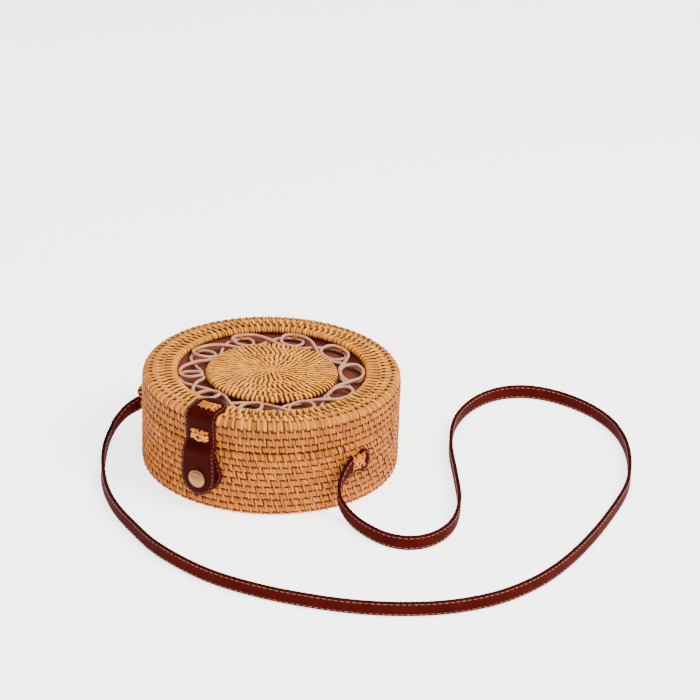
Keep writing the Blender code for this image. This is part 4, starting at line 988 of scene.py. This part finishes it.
def turned_piece(name, profile, centre_x, radius, height, body, node, material, slot):
    """A turned piece whose axis points out of the bag at the clasp."""
    line = resample(profile, 0.16)
    angle = np.linspace(0, 2 * math.pi, 72, endpoint=False)
    r, d = line[:, :1], line[:, 1:]
    points = np.stack([centre_x + r * np.cos(angle), np.repeat(-(radius + d), 72, 1),
                       height + r * np.sin(angle)], -1)
    along = tangents(line)
    normal = np.stack([along[:, 1], -along[:, 0]], -1)
    out = np.stack([normal[:, :1] * np.cos(angle), np.repeat(-normal[:, 1:], 72, 1),
                    normal[:, :1] * np.sin(angle)], -1)
    uv = np.stack(np.broadcast_arrays(np.linspace(0, 0.04, 73)[None, :],
                                      lengths_along(line)[:, None] * MM), -1)
    build = Build()
    build.grid(points, uv, (0.5, 1.0, 0.5), -out, wrap=True)
    build.finish(name, [material], body, slot, node, weld=True)


SNAP_X = 1.9
cap_line = [(0.0, 1.6), (2.0, 1.54), (4.0, 1.3), (5.2, 1.0), (5.9, 0.68), (6.15, 0.5), (6.4, 0.52),
            (6.75, 0.58), (7.1, 0.36), (7.2, 0.05), (7.1, -0.2), (6.8, -0.3), (1.8, -0.3),
            (1.8, -2.8), (0.0, -2.8)]
turned_piece("snap_cap_dome", cap_line, SNAP_X, FLAP_STAND + LEATHER + 0.35, 26.6, "flap",
             "snap_cap", metal, "champagne_metal")


# Cane lashings


def lashing(name, place, span, width, over, runs, posts, body, node, rng, spread=0.0, sway=0.4,
            bulge=0.0, under=0):
    """A knot of split cane over leather: runs along the span whose ends dive into the weave, and
    slanting posts woven over and under them. Neighbouring runs sway by sway to opposite sides,
    which opens gaps between them, and towards the far end the knot stands out by bulge more. The
    knot lies on under wide turns of the same cane, one upon the other."""
    build = Build()
    half, side = span / 2, width / 2
    for turn in range(under):
        a = np.linspace(-half, half, 26)
        rise = smooth_step((half - np.abs(a)) / 1.9)
        high = np.maximum(0.95 + bulge * (1 + a / half) / 2 - 0.85 * turn, 0.0)
        points, out = place(a, 0 * a, over + 0.1 + high * rise)
        ribbon(build, points, out, width * 0.9, 0.95, 0.35, 0.2, rng)
    for k in range(runs):
        b = -side + width * (k + 0.5) / runs
        a = np.linspace(-half - 0.7, half + 0.7, 34)
        rise = smooth_step((half + 0.7 - np.abs(a)) / 1.9)
        weave_in = 0.38 * np.cos(a / (span / (posts + 1)) * math.pi + k * math.pi)
        lift = -1.6 + (over + 1.25 + 1.6) * rise + weave_in * rise
        bend = (spread * (a / half) * (b / side) + 0.2 * np.sin(a * 0.5 + k)
                + sway * (-1) ** k * np.cos(a / half * 1.6 * math.pi))
        points, out = place(a, b + bend, lift + bulge * rise * (1 + a / half) / 2)
        ribbon(build, points, out, width / runs * 0.84, 0.95, rng.uniform(0.2, 1), 0.2, rng)
    for k in range(posts):
        a = -half + span * (k + 1) / (posts + 1) + rng.normal(0, 0.25)
        b = np.linspace(-side - 0.5, side + 0.5, 30)
        rise = smooth_step((side + 0.5 - np.abs(b)) / 1.3)
        weave_in = 0.42 * np.cos((b + side) / width * runs * math.pi + k * math.pi)
        lift = over + 0.1 + (1.35 + weave_in + bulge * (1 + a / half) / 2) * rise
        points, out = place(a + 0.5 * np.sin(b * 0.8 + k) + 0.25 * b, b, lift)
        ribbon(build, points, out, span / (posts + 1) * 0.42, 0.9, rng.uniform(0.3, 1), 0.2, rng)
    build.finish(name, [lashing_cane], body, "ata_lashing", node)


def wall_place(azimuth_deg, height):
    """Local frame on the wall: a runs round it, b goes down."""
    def place(a, b, lift):
        a, b, lift = np.broadcast_arrays(a, b, lift)
        angle = np.radians(azimuth_deg) + a / CREST
        rho = CREST + lift
        out = np.stack([np.sin(angle), -np.cos(angle), np.zeros_like(angle)], -1)
        return out * rho[..., None] + np.stack([0 * a, 0 * a, height - b], -1), out
    return place


def wall_place_up(azimuth_deg, height):
    """Local frame on the wall: a goes up, b runs round it."""
    base = wall_place(azimuth_deg, height)
    return lambda a, b, lift: base(b, -np.asarray(a), lift)


def top_place(radius):
    """Local frame on the lid's top at the clasp: a runs across, b goes outwards."""
    def place(a, b, lift):
        a, b, lift = np.broadcast_arrays(a, b, lift)
        points = np.stack([a, -(radius + b), LID_TOP + lift], -1)
        return points, np.broadcast_to(np.array([0.0, 0.0, 1.0]), points.shape)
    return place


OVER = LEATHER_GAP + LEATHER
lashing("lashing_top", top_place(89.0), 17.0, 9.4, OVER, 4, 3, "lid", "clasp_lashing_top", rng,
        0.5)
lashing("lashing_skirt", wall_place(0.5, 61.1), 15.6, 8.6, OVER, 3, 3, "lid",
        "clasp_lashing_skirt", rng, 0.2, 0.6)
lashing("lashing_body_tab", wall_place(1.8, 43.0), 13.0, 6.2, OVER, 3, 2, "bag",
        "body_tab_lashing", rng)
for name, azimuth, height, span, bulge, under in (("left", -73.3, 37.6, 16.4, 3.4, 5),
                                                  ("right", 72.0, 37.0, 12.4, 0.6, 0)):
    lashing("lashing_strap_" + name, wall_place_up(azimuth, height), span, 11.6,
            LEATHER_GAP + STRAP_THICK, 4, 3, "bag", "strap_lashing_" + name, rng, 0.0, 0.5, bulge,
            under)

# Strap ends, flat on the wall under their lashings, with their half widths at tip and neck
TIP, NECK = 9.0, 7.4
for side, name in ((-1, "left"), (1, "right")):
    def place(a, b, lift, side=side):
        angle = np.radians(STRAP_AZIMUTH) * side + side * (5.0 - 0.7 * a) / CREST
        rho = CREST + LEATHER_GAP + lift
        out = np.stack([np.sin(angle), -np.cos(angle), np.zeros_like(angle)], -1)
        points = out * rho[..., None]
        points[..., 2] = STRAP_HEIGHT + b
        return points, out
    outline, axis = strip_outline(17.2, TIP, 1.0,
                                  lambda a: TIP + (NECK - TIP) * smooth_step((a - TIP) / 7.0),
                                  lambda a: 0.0 * a)
    outline[:, 1] = np.where(outline[:, 0] > 16.2,
                             np.sign(outline[:, 1]) * np.maximum(np.abs(outline[:, 1]), NECK),
                             outline[:, 1])
    end = Build()
    leather_shape(end, outline, axis, place, STRAP_THICK)
    line, outs = stitch_line(outline, axis, 1.7, place, 2.45)
    stitches(end, line, outs, 2.6, 1.2, 0.2, rng)
    end.finish("strap_end_leather_" + name, [strap_leather, strap_thread], "bag",
               "strap_leather", "strap_end_" + name)


# Free strap

STRAP_POINTS = [
    (97.15, -31.0, 36.0), (96.35, -34.4, 36.0), (96.4, -40.2, 35.4), (95.8, -47.4, 32.0),
    (95.4, -53.0, 26.0), (95.9, -56.2, 19.0), (99.6, -57.6, 11.6), (108.4, -61.6, 7.2),
    (121.4, -68.2, 5.8), (146.0, -75.7, 5.8), (166.4, -71.9, 5.8), (178.6, -55.4, 5.8),
    (179.9, -28.8, 5.8), (167.6, 4.3, 5.8), (144.1, 41.1, 5.8), (118.1, 80.0, 5.8),
    (99.4, 119.0, 5.8), (93.4, 154.8, 5.8), (98.3, 183.9, 5.8), (111.9, 202.7, 5.8),
    (131.7, 211.5, 5.8), (155.6, 211.8, 5.8), (181.5, 204.9, 5.8), (207.4, 189.3, 5.8),
    (231.7, 162.7, 5.8), (252.2, 126.4, 5.8), (265.8, 86.8, 5.8), (275.9, 12.0, 5.8),
    (275.7, -50.6, 5.8), (263.6, -97.7, 5.8), (241.5, -131.8, 5.8), (213.1, -156.3, 5.8),
    (181.3, -173.7, 5.8), (146.4, -185.6, 5.8), (108.3, -193.2, 5.8), (66.2, -194.1, 5.8),
    (18.1, -182.6, 5.8), (-17.3, -164.6, 5.8), (-43.4, -148.4, 5.8), (-66.7, -128.2, 5.8),
    (-86.5, -104.8, 5.8), (-102.4, -80.6, 5.8), (-112.6, -62.6, 5.8), (-117.9, -49.9, 7.4),
    (-118.5, -44.3, 11.4), (-115.0, -42.2, 17.6), (-109.2, -40.6, 25.0), (-103.0, -38.2, 31.0),
    (-98.2, -35.0, 34.4), (-97.15, -31.0, 34.8),
]
# How far the band leans over, as (mm from its left end, degrees)
TWIST = ((0, 4), (7, 12), (14, 22), (21, 36), (28, 40), (35, 36), (42, 21), (48, 10), (54, 3),
         (60, -1), (68, -4), (80, -5), (92, -2), (104, 3), (116, 5), (130, 3), (150, 0))


def band_frames(points, ease=13):
    """Directions of a band that stands on its edge: its width is +Z made square to its way, then
    averaged over a few neighbours and squared again, so that it twists evenly."""
    along = tangents(points)
    up = np.array([0.0, 0.0, 1.0])
    wide = unit(up - along * along[:, 2:3])
    kernel = np.hanning(2 * ease + 1)
    for _ in range(2):
        wide = averaged(wide, kernel / kernel.sum())
        wide = unit(wide - along * (wide * along).sum(1)[:, None])
    return along, wide, unit(np.cross(along, wide))


route = resample(spline(STRAP_POINTS, 24), 1.6)
kernel = np.hanning(19)[1:-1]
route = np.concatenate([2 * route[0] - route[8:0:-1], route, 2 * route[-1] - route[-2:-10:-1]])
route = np.stack([np.convolve(column, kernel / kernel.sum(), "valid") for column in route.T], -1)
along, wide, thick = band_frames(route)
# The band also leans over where it comes down on the left, and widens towards its right end
reach = lengths_along(route)
lean = np.radians(np.interp(reach[-1] - reach, *np.array(TWIST).T))[:, None]
cosine, sine = np.cos(lean), np.sin(lean)
wide, thick = wide * cosine + thick * sine, thick * cosine - wide * sine
wider = 1 + 0.3 * smooth_step(1 - reach / 22.0)
strap = Build()
half, flat = STRAP_WIDTH / 2, STRAP_THICK / 2
face = [(half - 0.55, flat), (half - 1.2, flat), (half - 1.5, flat - 0.02),
        (half - 1.8, flat - 0.22), (half - 2.1, flat - 0.02), (half - 2.5, flat), (1.5, flat),
        (-1.5, flat), (-half + 2.5, flat), (-half + 2.1, flat - 0.02),
        (-half + 1.8, flat - 0.22), (-half + 1.5, flat - 0.02), (-half + 1.2, flat),
        (-half + 0.55, flat), (-half + 0.16, flat - 0.3), (-half, flat - 0.8)]
section = np.array(face + [(-b, -d) for b, d in face])
grid = (route[:, None, :] + (wide * wider[:, None])[:, None, :] * section[None, :, :1]
        + thick[:, None, :] * section[None, :, 1:])
out = (wide[:, None, :] * section[None, :, :1] / half
       + thick[:, None, :] * section[None, :, 1:] / flat)
u = np.append(lengths_along(section), 0.0) * MM
v = lengths_along(route) * MM
tint = np.zeros((len(route), len(section), 3))
edge = np.abs(section[:, 0]) > half - 0.5
tint[..., 0] = np.where(edge, 0.9, 0.0)
tint[..., 1] = 0.9
strap.grid(grid, np.stack(np.broadcast_arrays(u[None, :], v[:, None]), -1), tint, out, wrap=True)
for end, back in ((0, -along[0]), (-1, along[-1])):
    ring = grid[end]
    middle = np.repeat(route[end][None], len(ring), 0)
    cap = np.stack([ring, (ring + middle) / 2, middle])
    strap.grid(cap, np.zeros((3, len(ring) + 1, 2)), (0.9, 0.9, 0.5), back, wrap=True)
for side in (-1, 1):
    for row in (-1, 1):
        line = (route + wide * (row * (half - 1.8) * wider[:, None])
                + thick * (side * (flat - 0.16)))
        stitches(strap, line, thick * side, 3.1, 1.3, 0.22, rng)
strap_piece = strap.finish("shoulder_strap", [strap_leather, strap_thread], "bag",
                           "strap_leather", "strap")


# Hinge loops at the back
for side, name in ((-1, "left"), (1, "right")):
    loop = Build()
    for turn in range(3):
        angle = np.linspace(0, 2 * math.pi, 40)
        shift = (turn - 1) * 2.2
        points = np.stack([side * 13.0 + shift + 0.3 * np.sin(angle),
                           HINGE_Y + 3.6 * np.cos(angle), SEAM + 3.6 * np.sin(angle)], -1)
        normal = np.stack([0 * angle, np.cos(angle), np.sin(angle)], -1)
        ribbon(loop, points, normal, 2.15, 0.9, rng.uniform(0.4, 1), 0.3, rng)
    loop.finish("hinge_cane_" + name, [lashing_cane], "bag", "ata_lashing", "hinge_loop_" + name)


# Cloth linings, a little loose on what they lie against


def cloth_piece(name, face, back, uv, out, body, node):
    """A lining from the grids of its face and its back: both, with their edges joined."""
    build = Build()
    points = np.concatenate([face, back[::-1]])
    outs = np.concatenate([out, -out[::-1]])
    build.grid(points, np.concatenate([uv, uv[::-1]]), (0.5, 0.8, 0.5), outs, wrap=True)
    piece = build.finish(name, [cloth], body, "brown_cloth", node, weld=True)


def lining_disc(name, radius, height, thick, side, puckers, rng, body, node,
                rise=0.0):
    """A round lining: its height waves gently, and puckers run in from its edge, deeper towards
    it. side is 1 where the face looks up and -1 where it looks down. Between the radii 73 and
    88 it rises by rise."""
    azimuth = np.linspace(-math.pi, math.pi, 240, endpoint=False)
    r = np.append(np.linspace(0.0, 1.0, 40) ** 0.8, [1.0]) * radius
    wave = slow_wave(rng, azimuth, 5, 6)[None, :] * (r / radius)[:, None] ** 1.5 * 0.16
    pleat = np.sin(azimuth * puckers + 2.0 * np.sin(azimuth * 3)) * slow_wave(rng, azimuth, 4, 7)
    wave = wave + pleat[None, :] * np.clip((r / radius)[:, None] - 0.72, 0, 1) * 0.7
    wave = wave + rise * (smooth_step((r - 72.8) / 3.0) * smooth_step((88.0 - r) / 8.0))[:, None]
    x, y = r[:, None] * np.sin(azimuth), -r[:, None] * np.cos(azimuth)
    lift = np.full(len(r), thick / 2)
    lift[-1] = 0.0
    face = np.stack([x, y, height + wave + side * lift[:, None]], -1)
    back = np.stack([x, y, height + wave - side * lift[:, None]], -1)
    closed = np.append(azimuth, azimuth[0])
    uv = np.stack([r[:, None] * np.sin(closed), r[:, None] * np.cos(closed)], -1) * MM
    out = np.broadcast_to(np.array([0.0, 0.0, float(side)]), face.shape)
    cloth_piece(name, face, back, uv, out, body, node)


def lining_band(name, radius, low, high, thick, puckers, rng, body, node):
    """A lining round the inside of the wall, its hem turned in at the top: its radius waves
    inwards in upright folds."""
    azimuth = np.linspace(-math.pi, math.pi, 300, endpoint=False)
    z = np.concatenate([[high], np.linspace(high - 0.1, high - 3.0, 5),
                        np.linspace(high - 3.6, low + 0.1, 10), [low]])
    fold = np.sin(azimuth * puckers + 2.5 * np.sin(azimuth * 2)) * slow_wave(rng, azimuth, 4, 9)
    deep = np.clip((high - z) / (high - low), 0, 1)[:, None]
    inward = 0.16 + (0.12 * slow_wave(rng, azimuth, 5, 8) + 0.16 * fold)[None, :] * (0.3 + deep)
    inward = np.clip(inward, -0.1, 0.7)
    hem = 0.25 * smooth_step((z - high + 3.6) / 0.5)[:, None]
    half = np.full((len(z), 1), thick / 2)
    half[[0, -1]] = 0.0
    sine, cosine = np.sin(azimuth), np.cos(azimuth)

    def grid(reach):
        r = radius - inward - reach
        return np.stack([r * sine, -r * cosine, np.broadcast_to(z[:, None], r.shape)], -1)

    turn = np.linspace(0, 2 * math.pi * radius, 301)
    uv = np.stack(np.broadcast_arrays(turn[None, :], z[:, None]), -1) * MM
    face, back = grid(half + hem * (half > 0)), grid(-half)
    out = np.stack([-sine, cosine, 0 * sine], -1)[None].repeat(len(z), 0)
    cloth_piece(name, face, back, uv, out, body, node)


lining_disc("lining_floor", 93.5, 5.25, 0.6, 1, 46, rng, "bag", "body_lining_floor")
lining_band("lining_wall", 94.5, 4.9, SEAM - 6.1, 0.6, 38, rng, "bag", "body_lining_wall")
lining_disc("lining_lid_top", 90.6, 66.85, 0.6, -1, 44, rng, "lid", "lid_lining_disc",
            3.6)
lining_band("lining_lid_skirt", 94.5, SEAM + 0.2, 66.0, 0.6, 38, rng, "lid", "lid_lining_band")

# The hidden halves of the press stud keep their solids
for node in ("snap_socket", "snap_stud", "snap_rivet"):
    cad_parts[node].data.materials.clear()
    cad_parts[node].data.materials.append(metal)


# Floor, lights and camera

floor = Build()
size = 6000.0
corners = np.array([[(-size, -size, -0.3), (size, -size, -0.3)],
                    [(-size, size, -0.3), (size, size, -0.3)]])
floor.grid(corners, corners[..., :2] * MM, (0.5, 1.0, 0.5), (0.0, 0.0, 1.0))
floor_object = floor.finish("studio_floor", [floor_material()], None, None)


def turned_by(vector, degrees):
    """A vector turned round +Z."""
    c, s = math.cos(math.radians(degrees)), math.sin(math.radians(degrees))
    return np.array([vector[0] * c - vector[1] * s, vector[0] * s + vector[1] * c, vector[2]])


# Camera of the photograph: its turn round the bag in degrees, its focal length and the image
# point of the bag's middle in pixels of a picture PIXELS wide, its distance in millimetres, and
# its pitch and roll in degrees
VIEW_TURN, PIXELS = 30.0, 700.0
FOCAL, DISTANCE, PITCH, ROLL, CENTRE_X, CENTRE_Y = 2815.0, 2200.0, 24.97, 1.95, 271.0, 410.0


def area_light(name, azimuth, elevation, distance, size, power, colour=(1.0, 1.0, 1.0)):
    """A soft light aimed at the bag; the azimuth counts from the camera's side to the right."""
    a, e = math.radians(azimuth + VIEW_TURN), math.radians(elevation)
    place = Vector((math.sin(a) * math.cos(e), -math.cos(a) * math.cos(e), math.sin(e))) * distance
    data = bpy.data.lights.new(name, "AREA")
    data.shape = "DISK"
    data.size = size
    data.energy = power
    data.color = colour
    light = bpy.data.objects.new(name, data)
    light.location = place
    light.rotation_euler = (-place).to_track_quat("-Z", "Y").to_euler()
    bpy.context.scene.collection.objects.link(light)


area_light("key_light", 64.0, 50.0, 2.2, 1.1, 71.0, (1.0, 0.985, 0.96))
area_light("top_light", 0.0, 80.0, 2.4, 1.8, 43.0)
world = bpy.data.worlds.new("studio_world")
bpy.context.scene.world = world
world.use_nodes = True
world.node_tree.nodes["Background"].inputs[0].default_value = (1.0, 1.0, 1.0, 1.0)
world.node_tree.nodes["Background"].inputs[1].default_value = 0.79

e = math.radians(PITCH)
forward = np.array([0.0, math.cos(e), -math.sin(e)])
right = np.array([1.0, 0.0, 0.0])
up = np.cross(right, forward)
c, s = math.cos(math.radians(ROLL)), math.sin(math.radians(ROLL))
right, up = c * right + s * up, -s * right + c * up
x = (CENTRE_X - PIXELS / 2) / FOCAL * DISTANCE
y = (CENTRE_Y - PIXELS / 2) / FOCAL * DISTANCE
eye = np.array([0.0, 0.0, 40.0]) - (forward * DISTANCE + right * x - up * y)
right, up, forward, eye = (turned_by(v, VIEW_TURN) for v in (right, up, forward, eye))
camera_data = bpy.data.cameras.new("photo_camera")
SENSOR = 36.0
camera_data.sensor_width = SENSOR
camera_data.lens = SENSOR * FOCAL / PIXELS
camera_data.clip_end = 50.0
camera = bpy.data.objects.new("photo_camera", camera_data)
bpy.context.scene.collection.objects.link(camera)
basis = Matrix((right, up, -forward)).transposed().to_4x4()
basis.translation = Vector(eye * MM)
camera.matrix_world = basis
bpy.context.scene.camera = camera
